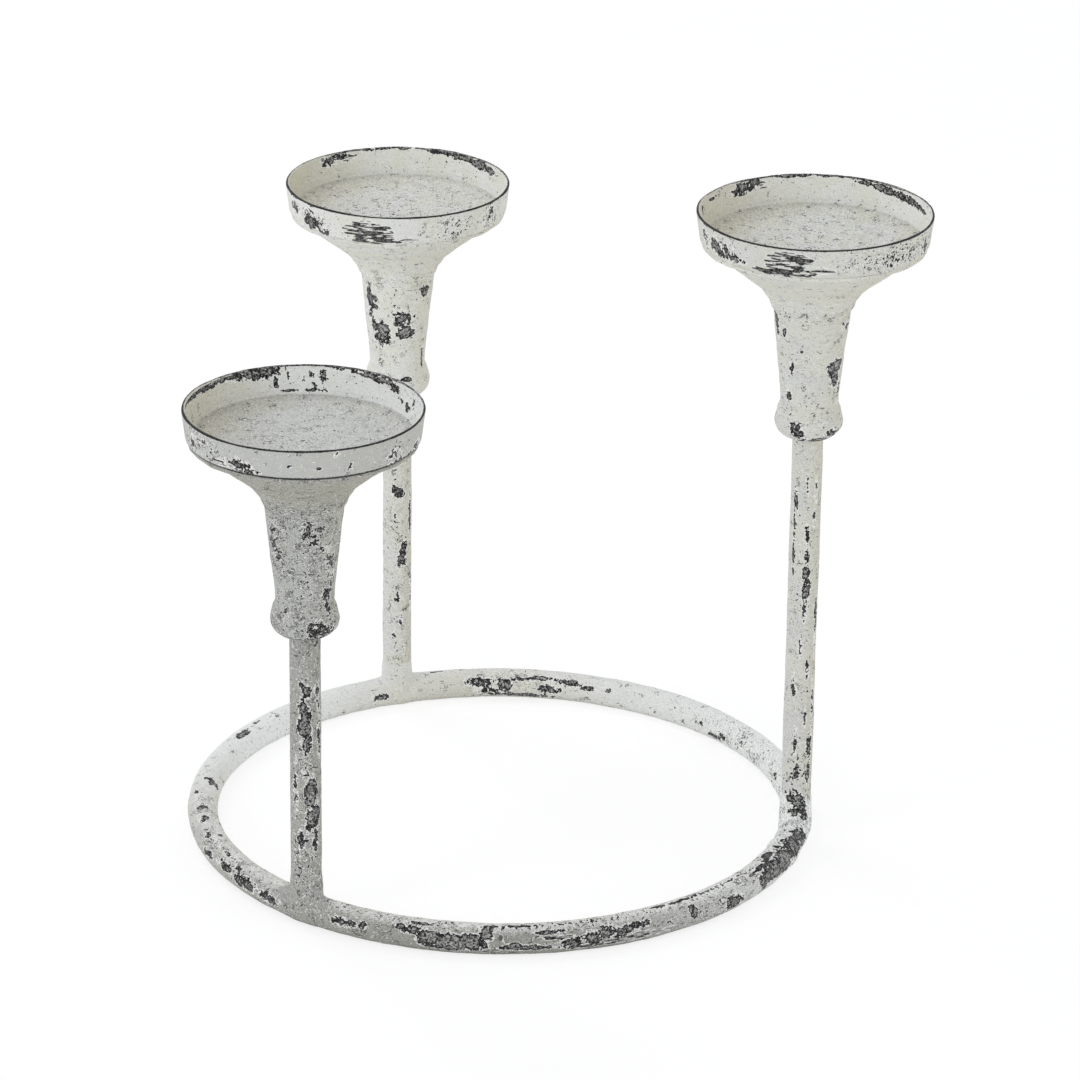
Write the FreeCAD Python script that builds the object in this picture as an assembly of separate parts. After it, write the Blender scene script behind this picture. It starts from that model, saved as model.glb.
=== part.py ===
import FreeCAD, Part
import math
import os

# Candle holder for three pillar candles.
# A ring of round bar stands on the table. Three posts of different height are welded onto it.
# Each post runs up through a trumpet-shaped sleeve to the underside of a shallow round pan.
# Millimetres, +Z up. The origin is the ring's centre on the table, and +X points at the tall post.

Vector = FreeCAD.Vector
UP = Vector(0, 0, 1)
FULL_TURN = 360.0

# Base ring, a hoop of round bar closed with a butt weld
RING_RADIUS = 100.0             # to the middle of the bar
RING_BAR_DIAMETER = 10.0
RING_FLAT_DEPTH = 0.3           # dressed off the underside, so that the ring stands still
RING_SEAM_ANGLE = -12.0         # degrees round from the tall post
RING_SEAM_GAP = 2.0             # between the bar's two ends, filled by the weld
RING_SEAM_LENGTH = 8.0          # of the weld's ridge, along the bar
RING_SEAM_CROWN = 0.4           # how far the ridge stands proud of the bar
RING_SEAM_TUCK = 0.15           # how far its ends run in under the bar's surface

# Posts, of the same round bar, each with its foot shaped to saddle the ring
POST_DIAMETER = 10.0
POST_TIP_TRIM = 2.0             # the saddle's thin tips end this far above the bar's middle

# Rims of the three pans above the table, and the posts' places round the ring in degrees
TALL_RIM_HEIGHT = 222.0
MEDIUM_RIM_HEIGHT = 194.0
SHORT_RIM_HEIGHT = 178.0
HOLDERS = {
    "tall": (0.0, TALL_RIM_HEIGHT),
    "medium": (120.0, MEDIUM_RIM_HEIGHT),
    "short": (240.0, SHORT_RIM_HEIGHT),
}

# Foot welds, each a swelling round the bar that blends up into the post
FOOT_WELD_LENGTH = 22.0         # along the bar
FOOT_WELD_CROWN = 0.6           # how far the swelling stands proud of the bar's sides
FOOT_WELD_UNDERCUT = 0.4        # how far it stays inside the bar underneath
FOOT_WELD_TUCK = 0.2            # how far its ends run in under the bar's surface
FOOT_WELD_BLEND = 3.5           # radius of the hollow between the swelling and the post
FOOT_WELD_REACH = 12.0          # length of post that the blend is worked on

# Pans, pressed from sheet: a band, a fold, a sloping margin and a flat floor
PAN_SHEET = 1.2
PAN_RIM_RADIUS = 38.0
PAN_RIM_ROUNDING = 0.35
PAN_BAND_HEIGHT = 9.8
PAN_BAND_TAPER = 1.2            # the band is this much narrower at the fold
PAN_FOLD_BEND = 1.4             # outside radius of the fold
PAN_MARGIN_WIDTH = 9.8          # from the fold in to the floor
PAN_MARGIN_DROP = 2.3           # from the fold down to the floor
PAN_FLOOR_BEND = 8.0            # outside radius where the margin meets the floor

# Sleeves, spun from sheet: a lip under the pan, a flare, a collar, a taper and a bulb on the post
SLEEVE_WALL = 1.2
SLEEVE_LIP_INSET = 1.4          # from the pan's fold in to the edge of the lip
SLEEVE_LIP_WIDTH = 3.9          # of the lip that bears on the pan's margin
SLEEVE_LIP_BEND = 6.0
SLEEVE_FLARE_HEIGHT = 17.3      # from the lip's inner edge down to the collar
SLEEVE_COLLAR_RADIUS = 14.2     # where the flare's line and the collar's line cross
SLEEVE_COLLAR_BEND = 4.0
SLEEVE_COLLAR_HEIGHT = 3.6      # of the collar, the steeper step between flare and taper
SLEEVE_NECK_RADIUS = 12.6       # where the collar's line and the taper's line cross
SLEEVE_NECK_BEND = 4.0
SLEEVE_TAPER_HEIGHT = 31.8      # from the neck down to the waist
SLEEVE_WAIST_RADIUS = 9.25
SLEEVE_WAIST_BEND = 4.5
SLEEVE_BULB_SHOULDER = 6.3      # from the waist down to the bulb's widest line
SLEEVE_BULB_RADIUS = 11.5       # where the bulb's upper side and its lower side cross
SLEEVE_BULB_BEND = 4.0
SLEEVE_BULB_HEIGHT = 4.6        # from the bulb's widest line down to its underside
SLEEVE_UNDERSIDE_RADIUS = 9.3   # where the bulb's lower side and its underside cross
SLEEVE_UNDERSIDE_BEND = 2.2
SLEEVE_MOUTH_CLEARANCE = 0.05   # push fit of the mouth on the post

# Pan welds, hidden in the sleeves, between the top of the post and the pan's underside
PAN_WELD_LEG = 3.0
PAN_WELD_HOLLOW_SHARE = 0.42    # of a leg, in from the corner to the middle of the weld's face

# Shared by the cuts and the sections
CUT_OVERRUN = 2.0               # by which a cutting block runs past what it cuts
BEND_SIDE_SHARE = 0.49          # a bend takes at most this share of the shorter side beside it
SAME_POINT = 1e-7

# Sizes that follow from the ones above
RING_BAR_RADIUS = RING_BAR_DIAMETER / 2
RING_BAR_MIDDLE = RING_BAR_RADIUS - RING_FLAT_DEPTH
POST_RADIUS = POST_DIAMETER / 2
PAN_FOLD_RADIUS = PAN_RIM_RADIUS - PAN_BAND_TAPER
PAN_FLOOR_RADIUS = PAN_FOLD_RADIUS - PAN_MARGIN_WIDTH
PAN_UNDERSIDE = PAN_BAND_HEIGHT + PAN_MARGIN_DROP
PAN_MARGIN_SLOPE = math.atan2(PAN_MARGIN_DROP, PAN_MARGIN_WIDTH)


def left_of(start, end):
    """The direction square to a line from start to end, on its left, in the XZ plane."""
    along = (end - start).normalize()
    return Vector(-along.z, 0, along.x)


def moved_line(line, wall):
    """A line of (corner, bend) pairs moved to its left by the wall, with its bends concentric."""
    moved = []
    for index, (corner, bend) in enumerate(line):
        sides = [left_of(a, b) for (a, _), (b, _) in zip(line, line[1:])][max(index - 1, 0):index + 1]
        shift = (sides[0] + sides[-1]) * (wall / (1 + sides[0].dot(sides[-1])))
        turns_left = sides[0].cross(sides[-1]).y < 0
        if bend:
            bend = max(bend - wall, 0) if turns_left else bend + wall
        moved.append((corner + shift, bend))
    return moved


def bend_points(before, corner, after, bend):
    """Start, middle and end of the arc that rounds a corner, all at the corner without a bend."""
    back = before - corner
    ahead = after - corner
    longest_run = min(back.Length, ahead.Length) * BEND_SIDE_SHARE
    back.normalize()
    ahead.normalize()
    half_angle = back.getAngle(ahead) / 2
    run = min(bend / math.tan(half_angle), longest_run)
    radius = run * math.tan(half_angle)
    inward = (back + ahead).normalize()
    middle = corner + inward * (radius / math.sin(half_angle) - radius)
    return corner + back * run, middle, corner + ahead * run


def section_face(corners):
    """A closed face in the XZ plane from (corner, bend) pairs, with an arc at each bend."""
    places = [corner for corner, _ in corners]
    befores = places[-1:] + places[:-1]
    afters = places[1:] + places[:1]
    bends = []
    for before, (corner, bend), after in zip(befores, corners, afters):
        bends.append(bend_points(before, corner, after, bend))
    edges = []
    for (start, middle, end), (next_start, _, _) in zip(bends, bends[1:] + bends[:1]):
        if (end - start).Length > SAME_POINT:
            edges.append(Part.Arc(start, middle, end).toShape())
        if (next_start - end).Length > SAME_POINT:
            edges.append(Part.LineSegment(end, next_start).toShape())
    return Part.Face(Part.Wire(edges))


def turned(face):
    """The solid that a section in the XZ plane sweeps round the Z axis."""
    return face.revolve(Vector(), UP, FULL_TURN)


def full_hoop():
    """The ring's bar all the way round, before it is dressed flat."""
    return Part.makeTorus(RING_RADIUS, RING_BAR_RADIUS, Vector(0, 0, RING_BAR_MIDDLE))


def swelling(length, middle_radius, end_radius, height):
    """A barrel that lies along the ring's bar where the bar crosses the X axis."""
    half = length / 2
    outline = Part.Arc(
        Vector(end_radius, -half, 0),
        Vector(middle_radius, 0, 0),
        Vector(end_radius, half, 0),
    ).toShape()
    corners = [Vector(end_radius, half, 0), Vector(0, half, 0), Vector(0, -half, 0), Vector(end_radius, -half, 0)]
    sides = [Part.LineSegment(a, b).toShape() for a, b in zip(corners, corners[1:])]
    barrel = Part.Face(Part.Wire([outline] + sides)).revolve(Vector(), Vector(0, 1, 0), FULL_TURN)
    barrel.translate(Vector(RING_RADIUS, 0, height))
    return barrel


def below_table():
    """A block under the table's plane, as wide as the ring and its welds."""
    half = RING_RADIUS + RING_BAR_DIAMETER + CUT_OVERRUN
    depth = RING_BAR_DIAMETER
    return Part.makeBox(half * 2, half * 2, depth, Vector(-half, -half, -depth))


def seam_slot():
    """The gap between the bar's two ends, at the ring's crossing with the X axis."""
    reach = RING_BAR_DIAMETER + CUT_OVERRUN
    corner = Vector(RING_RADIUS - reach, -RING_SEAM_GAP / 2, -reach)
    return Part.makeBox(reach * 2, RING_SEAM_GAP, reach * 3, corner)


def base_ring():
    """The open hoop of bar, dressed flat underneath, with its gap at the seam's place."""
    slot = seam_slot()
    slot.rotate(Vector(), UP, RING_SEAM_ANGLE)
    return full_hoop().cut(below_table()).cut(slot)


def ring_seam_weld():
    """The butt weld that fills the gap and stands a little proud all round."""
    middle_radius = RING_BAR_RADIUS + RING_SEAM_CROWN
    end_radius = RING_BAR_RADIUS - RING_SEAM_TUCK
    weld = swelling(RING_SEAM_LENGTH, middle_radius, end_radius, RING_BAR_MIDDLE)
    weld.rotate(Vector(), UP, RING_SEAM_ANGLE)
    return weld.cut(below_table()).cut(base_ring())


def post(rim_height):
    """A round post, saddled onto the bar below and square against the pan above."""
    foot_height = RING_BAR_MIDDLE + POST_TIP_TRIM
    length = rim_height - PAN_UNDERSIDE - foot_height
    bar = Part.makeCylinder(POST_RADIUS, length, Vector(RING_RADIUS, 0, foot_height))
    return bar.cut(full_hoop())


def seams_between(body, straight_sides):
    """The edges of a body where its straight sides of a given kind meet its swollen surface."""
    seams = []
    for edge in body.Edges:
        kinds = {face.Surface.TypeId for face in body.ancestorsOfType(edge, Part.Face)}
        if straight_sides in kinds and len(kinds) > 1 and "Part::GeomPlane" not in kinds:
            seams.append(edge)
    return seams


def foot_weld():
    """The swelling round the bar, with a hollow blend up into the post."""
    middle_radius = max(RING_BAR_RADIUS, POST_RADIUS) + FOOT_WELD_CROWN
    height = RING_BAR_MIDDLE - RING_BAR_RADIUS + FOOT_WELD_UNDERCUT + middle_radius
    end_radius = RING_BAR_MIDDLE + RING_BAR_RADIUS - height - FOOT_WELD_TUCK
    barrel = swelling(FOOT_WELD_LENGTH, middle_radius, end_radius, height)
    top = height + middle_radius + FOOT_WELD_REACH
    stub = Part.makeCylinder(POST_RADIUS, top - height, Vector(RING_RADIUS, 0, height))
    body = barrel.fuse(stub)
    body = body.makeFillet(FOOT_WELD_BLEND, seams_between(body, "Part::GeomCylinder"))
    saddle = Part.makeCylinder(POST_RADIUS, top, Vector(RING_RADIUS, 0, RING_BAR_MIDDLE + POST_TIP_TRIM))
    return body.cut(full_hoop()).cut(saddle)


def pan():
    """The pressed pan, with the top of its rim at height zero."""
    underside = [
        (Vector(0, 0, -PAN_UNDERSIDE), 0),
        (Vector(PAN_FLOOR_RADIUS, 0, -PAN_UNDERSIDE), PAN_FLOOR_BEND),
        (Vector(PAN_FOLD_RADIUS, 0, -PAN_BAND_HEIGHT), PAN_FOLD_BEND),
        (Vector(PAN_RIM_RADIUS, 0, 0), PAN_RIM_ROUNDING),
    ]
    inside = moved_line(underside, PAN_SHEET)
    # the rim is trimmed level, so the inner wall ends at the outer wall's height
    (corner, _), (below, _) = inside[-1], inside[-2]
    level = below + (corner - below) * (below.z / (below.z - corner.z))
    inside[-1] = (level, PAN_RIM_ROUNDING)
    return turned(section_face(underside + inside[::-1]))


def lip_underside(radius):
    """Height of the sleeve's lip underneath, a wall below the pan's sloping margin."""
    margin = -PAN_BAND_HEIGHT - (PAN_FOLD_RADIUS - radius) * math.tan(PAN_MARGIN_SLOPE)
    return margin - SLEEVE_WALL / math.cos(PAN_MARGIN_SLOPE)


def sleeve():
    """The spun sleeve, an even wall behind its outer line, placed under a pan's rim at zero."""
    lip_radius = PAN_FOLD_RADIUS - SLEEVE_LIP_INSET
    flare_radius = lip_radius - SLEEVE_LIP_WIDTH
    flare = lip_underside(flare_radius)
    collar = flare - SLEEVE_FLARE_HEIGHT
    neck = collar - SLEEVE_COLLAR_HEIGHT
    waist = neck - SLEEVE_TAPER_HEIGHT
    shoulder = waist - SLEEVE_BULB_SHOULDER
    bottom = shoulder - SLEEVE_BULB_HEIGHT
    outside = [
        (Vector(POST_RADIUS + SLEEVE_MOUTH_CLEARANCE, 0, bottom), 0),
        (Vector(SLEEVE_UNDERSIDE_RADIUS, 0, bottom), SLEEVE_UNDERSIDE_BEND),
        (Vector(SLEEVE_BULB_RADIUS, 0, shoulder), SLEEVE_BULB_BEND),
        (Vector(SLEEVE_WAIST_RADIUS, 0, waist), SLEEVE_WAIST_BEND),
        (Vector(SLEEVE_NECK_RADIUS, 0, neck), SLEEVE_NECK_BEND),
        (Vector(SLEEVE_COLLAR_RADIUS, 0, collar), SLEEVE_COLLAR_BEND),
        (Vector(flare_radius, 0, flare), SLEEVE_LIP_BEND),
        (Vector(lip_radius, 0, lip_underside(lip_radius)), 0),
    ]
    inside = moved_line(outside, SLEEVE_WALL)
    return turned(section_face(outside + inside[::-1]))


def pan_weld():
    """A hollow fillet weld round the top of the post, against the pan's underside."""
    inner = Vector(POST_RADIUS, 0, -PAN_UNDERSIDE)
    low = inner - UP * PAN_WELD_LEG
    wide = inner + Vector(PAN_WELD_LEG, 0, 0)
    hollow = inner + (wide - inner + low - inner) * PAN_WELD_HOLLOW_SHARE
    edges = [
        Part.LineSegment(wide, inner).toShape(),
        Part.LineSegment(inner, low).toShape(),
        Part.Arc(low, hollow, wide).toShape(),
    ]
    return turned(Part.Face(Part.Wire(edges)))


def holder_pieces(rim_height):
    """The five pieces of one holder, where the ring crosses the X axis."""
    pieces = {"post": post(rim_height), "foot_weld": foot_weld()}
    for name, make in (("sleeve", sleeve), ("pan", pan), ("pan_weld", pan_weld)):
        piece = make()
        piece.translate(Vector(RING_RADIUS, 0, rim_height))
        pieces[name] = piece
    return pieces


def all_nodes():
    """Every piece by its node's name."""
    nodes = {"base_ring": base_ring(), "ring_seam_weld": ring_seam_weld()}
    for size, (angle, rim_height) in HOLDERS.items():
        for name, piece in holder_pieces(rim_height).items():
            piece.rotate(Vector(), UP, angle)
            nodes[f"{name}_{size}"] = piece
    return nodes


os.makedirs("parts", exist_ok=True)
for node, shape in all_nodes().items():
    solids = shape.Solids
    print(node, len(solids), "solid", "valid" if shape.isValid() else "NOT VALID", round(shape.Volume, 2))
    solid = solids[0] if len(solids) == 1 else shape
    solid.exportStep(f"parts/{node}.step")
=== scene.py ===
import math

import bpy
from mathutils import Matrix, Vector


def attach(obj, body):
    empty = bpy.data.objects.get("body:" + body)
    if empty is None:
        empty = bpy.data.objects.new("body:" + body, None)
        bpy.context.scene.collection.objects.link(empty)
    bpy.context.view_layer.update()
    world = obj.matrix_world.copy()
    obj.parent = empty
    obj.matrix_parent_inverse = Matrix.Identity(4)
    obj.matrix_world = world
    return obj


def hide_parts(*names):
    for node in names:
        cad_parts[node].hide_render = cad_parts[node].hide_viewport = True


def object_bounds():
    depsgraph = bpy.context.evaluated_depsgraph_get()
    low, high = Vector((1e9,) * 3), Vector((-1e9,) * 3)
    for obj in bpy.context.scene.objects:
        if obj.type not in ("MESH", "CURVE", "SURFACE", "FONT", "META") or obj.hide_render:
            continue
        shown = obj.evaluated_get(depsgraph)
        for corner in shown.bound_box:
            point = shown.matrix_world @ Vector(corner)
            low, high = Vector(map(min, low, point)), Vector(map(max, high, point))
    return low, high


# Candle holder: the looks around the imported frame.
# Sizes are written in millimetres and degrees, as in the part, and turned to metres by MM.

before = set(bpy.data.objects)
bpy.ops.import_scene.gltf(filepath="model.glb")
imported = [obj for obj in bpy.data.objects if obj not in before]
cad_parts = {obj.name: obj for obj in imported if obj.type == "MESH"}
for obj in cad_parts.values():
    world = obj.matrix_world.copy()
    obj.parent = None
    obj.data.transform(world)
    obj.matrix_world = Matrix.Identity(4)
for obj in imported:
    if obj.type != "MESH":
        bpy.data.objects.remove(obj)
cad_low, cad_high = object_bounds()

MM = 0.001
FULL_TURN = 2 * math.pi
QUARTER_TURN = math.pi / 2

# The holder's own sizes, as the part has them
RING_RADIUS = 100.0
BAR_RADIUS = 5.0
BAR_MIDDLE = 4.7
SEAM_ANGLE = -12.0
PAN_UNDERSIDE = 12.1
# Where each holder stands round the ring, and how high its rim is
HOLDERS = {"tall": (0.0, 222.0), "medium": (120.0, 194.0), "short": (240.0, 178.0)}

# The welds' flat undersides lie this far above the ring's, so that the two never coincide
WELD_CLEARANCE = 0.06
# A post starts inside its foot weld, this far above the bar's middle
POST_START = 2.0
# A foot weld's swelling sits this far above the bar's middle
FOOT_RAISED = 0.1

# How finely the pieces are divided: steps round a piece, and rows in millimetres
PAN_STEPS = 320
SLEEVE_STEPS = 160
RING_STEPS = 420
BAR_SIDES = 36
FOOT_STEPS = 48
PAN_ROW = 0.8
SLEEVE_ROW = 0.7
POST_ROW = 0.7
SEAM_ROW = 0.4
FOOT_ROW = 0.6
# The feet's two forms are grown together in cells of this size, and then smoothed
FOOT_VOXEL = 0.42
FOOT_SMOOTHING = {"factor": 0.5, "iterations": 14}

# Points of an outline closer than this count as one, and a spin's points are merged within this
SAME_POINT = 0.001
MERGED_WITHIN = 0.002
# A bend takes up at most this share of the sides that it joins
MOST_OF_SIDE = 0.49
# What lies up to this far above a flat underside is laid flat with it
FLAT_WITHIN = 0.02
# Edges that turn by less than this angle are shaded smooth
SMOOTH_BELOW = 50

# Outlines as (radius, height, bend): first below the rim, then along the bar, then above the table
PAN_OUTLINE = [
    (0.0, -12.1, 0),
    (27.0, -12.1, 8.0),
    (36.8, -9.8, 1.2),
    (38.0, 0.0, 0.3),
    (36.95, 0.0, 0.3),
    (36.88, -0.55, 0),
    (35.75, -8.75, 1.0),
    (26.9, -10.9, 6.0),
    (0.0, -10.9, 0),
]
SLEEVE_OUTLINE = [
    # the bulb's underside and the bulb
    (5.05, -75.9, 0), (8.4, -75.9, 2.4), (10.7, -73.6, 3.4), (11.15, -70.9, 3.0),
    # the step above the bulb, the waist and the taper
    (10.35, -67.7, 1.0), (10.2, -67.0, 0.8), (9.35, -64.9, 1.8), (9.5, -61.0, 6.0),
    (10.9, -48.0, 9.0), (12.45, -33.6, 2.4),
    # the collar, and the flare up to the lip under the pan
    (12.75, -32.3, 1.0), (13.5, -31.2, 1.2), (14.1, -29.2, 1.6), (17.5, -24.3, 6.0),
    (31.9, -12.9, 6.0), (36.2, -11.1, 0.3),
    # back down inside
    (36.0, -10.0, 0), (31.4, -11.15, 5.0), (12.3, -29.6, 14.0), (7.9, -64.0, 10.0),
    (9.8, -72.0, 4.0), (8.6, -74.7, 1.0), (5.05, -74.7, 0), (5.05, -75.9, 0),
]
SEAM_OUTLINE = [
    (0.0, -3.6, 0), (4.7, -3.6, 0), (5.0, -2.2, 1.0), (5.38, -0.8, 2.0),
    (5.38, 0.8, 2.0), (5.0, 2.2, 1.0), (4.7, 3.6, 0), (0.0, 3.6, 0),
]
FOOT_BARREL_OUTLINE = [
    (0.0, -11.0, 0), (4.6, -11.0, 0), (5.15, -6.0, 12.0), (5.45, 0.0, 14.0),
    (5.15, 6.0, 12.0), (4.6, 11.0, 0), (0.0, 11.0, 0),
]
FOOT_STUB_OUTLINE = [
    (0.0, 4.0, 0), (5.6, 4.0, 0), (5.5, 9.0, 0), (5.2, 15.0, 0), (4.6, 21.0, 0), (0.0, 21.0, 0),
]

# The hammered lumps of each kind of piece, as (width, height), the broad ones first
LUMPS = {
    "pan": [(14.0, 0.3), (4.0, 0.16)],
    "sleeve": [(9.0, 0.5), (3.0, 0.22)],
    "post": [(16.0, 0.35), (3.5, 0.2)],
    "ring": [(18.0, 0.3), (4.0, 0.22)],
    "seam": [(3.0, 0.35)],
    "foot": [(5.0, 0.3), (2.5, 0.15)],
}


def size(*millimetres):
    """A vector in metres from sizes in millimetres."""
    return Vector(millimetres) * MM


def on_ring(angle):
    """Where an angle lies on the ring's middle line, in millimetres."""
    turn = math.radians(angle)
    return RING_RADIUS * math.cos(turn), RING_RADIUS * math.sin(turn)


# Modelling by hand: selections by place, outlines, spins and lumps

def pick(piece, *others):
    """Selects a piece, with others beside it, and makes it the active one."""
    bpy.ops.object.select_all(action="DESELECT")
    for chosen in (piece, *others):
        chosen.select_set(True)
    bpy.context.view_layer.objects.active = piece


def select_where(piece, wanted):
    """Selects the points of a piece that a test on their place accepts, and edits them."""
    pick(piece)
    bpy.ops.object.mode_set(mode="EDIT")
    bpy.ops.mesh.select_mode(type="VERT")
    bpy.ops.mesh.select_all(action="DESELECT")
    bpy.ops.object.mode_set(mode="OBJECT")
    for point in piece.data.vertices:
        point.select = wanted(point.co)
    bpy.ops.object.mode_set(mode="EDIT")


def done():
    """Ends the editing of a piece."""
    bpy.ops.object.mode_set(mode="OBJECT")


def settled():
    """Puts the place and the turn of whatever is selected into its mesh."""
    bpy.ops.object.transform_apply(location=True, rotation=True, scale=True)


def start_outline(name, radius, height):
    """A single point in the XZ plane, left by merging a tiny plane."""
    bpy.ops.object.select_all(action="DESELECT")
    bpy.ops.mesh.primitive_plane_add(size=MM, location=size(radius, 0, height))
    settled()
    piece = bpy.context.object
    piece.name = name
    bpy.ops.object.mode_set(mode="EDIT")
    bpy.ops.mesh.select_mode(type="VERT")
    bpy.ops.mesh.select_all(action="SELECT")
    bpy.ops.mesh.merge(type="CENTER")
    return piece


def round_corner(piece, before, corner, after, row):
    """Bevels one point of an outline to a bend of the corner's radius."""
    place = size(corner[0], 0, corner[1])
    back = size(before[0], 0, before[1]) - place
    ahead = size(after[0], 0, after[1]) - place
    opening = back.angle(ahead) / 2
    run = corner[2] * MM / math.tan(opening)
    run = min(run, back.length * MOST_OF_SIDE, ahead.length * MOST_OF_SIDE)
    arc = (math.pi - 2 * opening) * run * math.tan(opening)
    select_where(piece, lambda at: (at - place).length < SAME_POINT * MM)
    segments = max(2, math.ceil(arc / (row * MM)))
    bpy.ops.mesh.bevel(offset=run, segments=segments, affect="VERTICES")
    done()


def divide(piece, row):
    """Cuts the long edges of an outline into rows of about the same length."""
    points = piece.data.vertices
    long_edges = {}
    for edge in piece.data.edges:
        start, end = (points[index].co.copy() for index in edge.vertices)
        count = math.ceil((end - start).length / (row * MM))
        if count > 1:
            long_edges.setdefault(count, []).append((start, end))
    for count, edges in long_edges.items():
        for ends in edges:
            select_where(piece, lambda at: min((at - end).length for end in ends) < SAME_POINT * MM)
            bpy.ops.mesh.subdivide(number_cuts=count - 1)
            done()


def outline(name, corners, row):
    """A chain of edges through the corners, extruded point by point, rounded and divided."""
    piece = start_outline(name, corners[0][0], corners[0][1])
    for (radius, height, _), (next_radius, next_height, _) in zip(corners, corners[1:]):
        step = size(next_radius - radius, 0, next_height - height)
        bpy.ops.mesh.extrude_vertices_move(TRANSFORM_OT_translate={"value": step})
    done()
    for before, corner, after in zip(corners, corners[1:], corners[2:]):
        if corner[2]:
            round_corner(piece, before, corner, after, row)
    divide(piece, row)
    return piece


def spin_round(piece, steps):
    """Spins a whole outline round the Z axis and closes its poles and its seam."""
    select_where(piece, lambda at: True)
    bpy.ops.mesh.spin(
        steps=steps, dupli=False, angle=FULL_TURN, use_auto_merge=True,
        center=(0, 0, 0), axis=(0, 0, 1))
    bpy.ops.mesh.select_all(action="SELECT")
    bpy.ops.mesh.remove_doubles(threshold=MERGED_WITHIN * MM)
    bpy.ops.mesh.normals_make_consistent(inside=False)
    done()


def turned_piece(name, corners, row, steps):
    """A closed piece turned about the Z axis from its outline."""
    piece = outline(name, corners, row)
    spin_round(piece, steps)
    return piece


def moved(piece, x, y, z, turn=0.0):
    """Turns a piece about the Z axis and moves it, into its mesh."""
    pick(piece)
    piece.rotation_euler = (0, 0, math.radians(turn))
    piece.location = size(x, y, z)
    settled()
    return piece


def laid_down(piece):
    """Tips a turned piece over, so that its axis runs along the bar at bearing 0."""
    pick(piece)
    piece.rotation_euler = (QUARTER_TURN, 0, 0)
    settled()
    return piece


def copied(piece, name):
    """A second piece with a mesh of its own."""
    twin = piece.copy()
    twin.data = piece.data.copy()
    twin.name = name
    bpy.context.collection.objects.link(twin)
    return twin


def apply_modifier(piece, kind, **settings):
    """Adds a modifier with its settings and applies it."""
    pick(piece)
    modifier = piece.modifiers.new(kind.lower(), kind)
    for key, value in settings.items():
        setattr(modifier, key, value)
    bpy.ops.object.modifier_apply(modifier=modifier.name)


def hammered(piece, kind):
    """Raises and sinks the surface by half of each lump's height either way."""
    for across, height in LUMPS[kind]:
        texture = bpy.data.textures.new(f"hollows {across} mm", "CLOUDS")
        texture.noise_scale = across * MM
        texture.noise_depth = 1
        apply_modifier(
            piece, "DISPLACE", texture=texture, texture_coords="LOCAL", direction="NORMAL",
            mid_level=0.5, strength=height * MM)


def kept_in_box(piece):
    """Flattens whatever the lumps pushed out of the part's box back onto the box's sides."""
    for axis in range(3):
        for limit, side in ((cad_low[axis], -1), (cad_high[axis], 1)):
            if max((corner[axis] - limit) * side for corner in piece.bound_box) > 0:
                select_where(piece, lambda at: (at[axis] - limit) * side > 0)
                bpy.ops.transform.resize(
                    value=[0 if index == axis else 1 for index in range(3)],
                    center_override=[limit if index == axis else 0 for index in range(3)])
                done()


def flattened(piece, level):
    """Lays whatever hangs below a level, in millimetres, flat on that level."""
    select_where(piece, lambda at: at.z < MM * (level + FLAT_WITHIN))
    bpy.ops.transform.resize(value=(1, 1, 0), center_override=size(0, 0, level))
    done()


def smooth_shaded(piece):
    """Shades a piece smooth but for its sharp edges."""
    pick(piece)
    bpy.ops.object.shade_smooth_by_angle(angle=math.radians(SMOOTH_BELOW))


# Places of wear, written as (bearing, level, half width, half height, strength).
# On turned pieces and posts the level is the depth below the rim.
# On the ring it is the angle round the bar, 90 on top and 0 outside.

WORN_PAN_OUTSIDE = {
    "short": [
        (-113, 6.8, 3.4, 1.8, 0.85), (-106, 8.6, 2.8, 1, 0.85), (-64, 1, 0.8, 1.2, 1),
        (-72, 6, 0.9, 0.5, 1.2), (-57, 6.2, 0.7, 1.3, 1), (-31, 6.4, 3, 1.8, 0.5),
        (-24, 9.2, 6, 0.9, 1), (-86, 5.2, 0.6, 0.6, 1), (-146, 5.5, 2, 2.4, 0.6),
        (-136, 3, 2.4, 0.9, 0.75), (-9, 7.4, 2, 1.4, 0.8), (20, 6, 4, 2.6, 0.9),
        (62, 3.4, 6, 1.8, 0.9), (104, 7.4, 5, 1.8, 0.9), (150, 5, 4.4, 3.2, 0.9),
    ],
    "medium": [
        (-131, 6, 5, 2.8, 0.85), (-122, 8.6, 3, 1, 0.9), (-148, 4, 2.4, 2, 0.8),
        (-24, 4.4, 2, 2.2, 0.7), (18, 6.4, 4, 2, 0.9), (70, 5, 6, 2.4, 0.9),
        (128, 6.8, 5, 1.6, 0.9), (172, 4, 3.4, 2, 0.9),
    ],
    "tall": [
        (-141, 5.2, 3.2, 2.2, 0.95), (-128, 7.4, 3.6, 1, 0.95), (-134, 6.6, 4.4, 2.4, 0.8),
        (-152, 5, 2, 2.4, 0.8), (-15, 6.8, 1, 2.6, 0.9), (14, 5, 4, 2.4, 0.85),
        (58, 4.6, 6, 2.2, 0.95), (118, 6.6, 5, 2, 0.9), (164, 4.4, 3.6, 2.4, 0.9),
    ],
}
STREAKED_PAN_OUTSIDE = {
    "short": [(-124, 7.6, 5, 1.2, 0.4), (84, 5, 9, 2.8, 0.9)],
    "medium": [
        (-96, 5.6, 5.6, 2.4, 1.4), (-93, 8.4, 6, 1, 1.7), (-76, 8.2, 4, 1, 0.6),
        (96, 5, 9, 2.6, 1),
    ],
    "tall": [
        (-97, 5, 5, 2.4, 1.5), (-99, 8.2, 6, 1, 1.7), (-81, 6.8, 3.6, 1, 0.7),
        (-110, 8.4, 3, 0.8, 1), (88, 5, 9, 2.6, 1),
    ],
}
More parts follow.
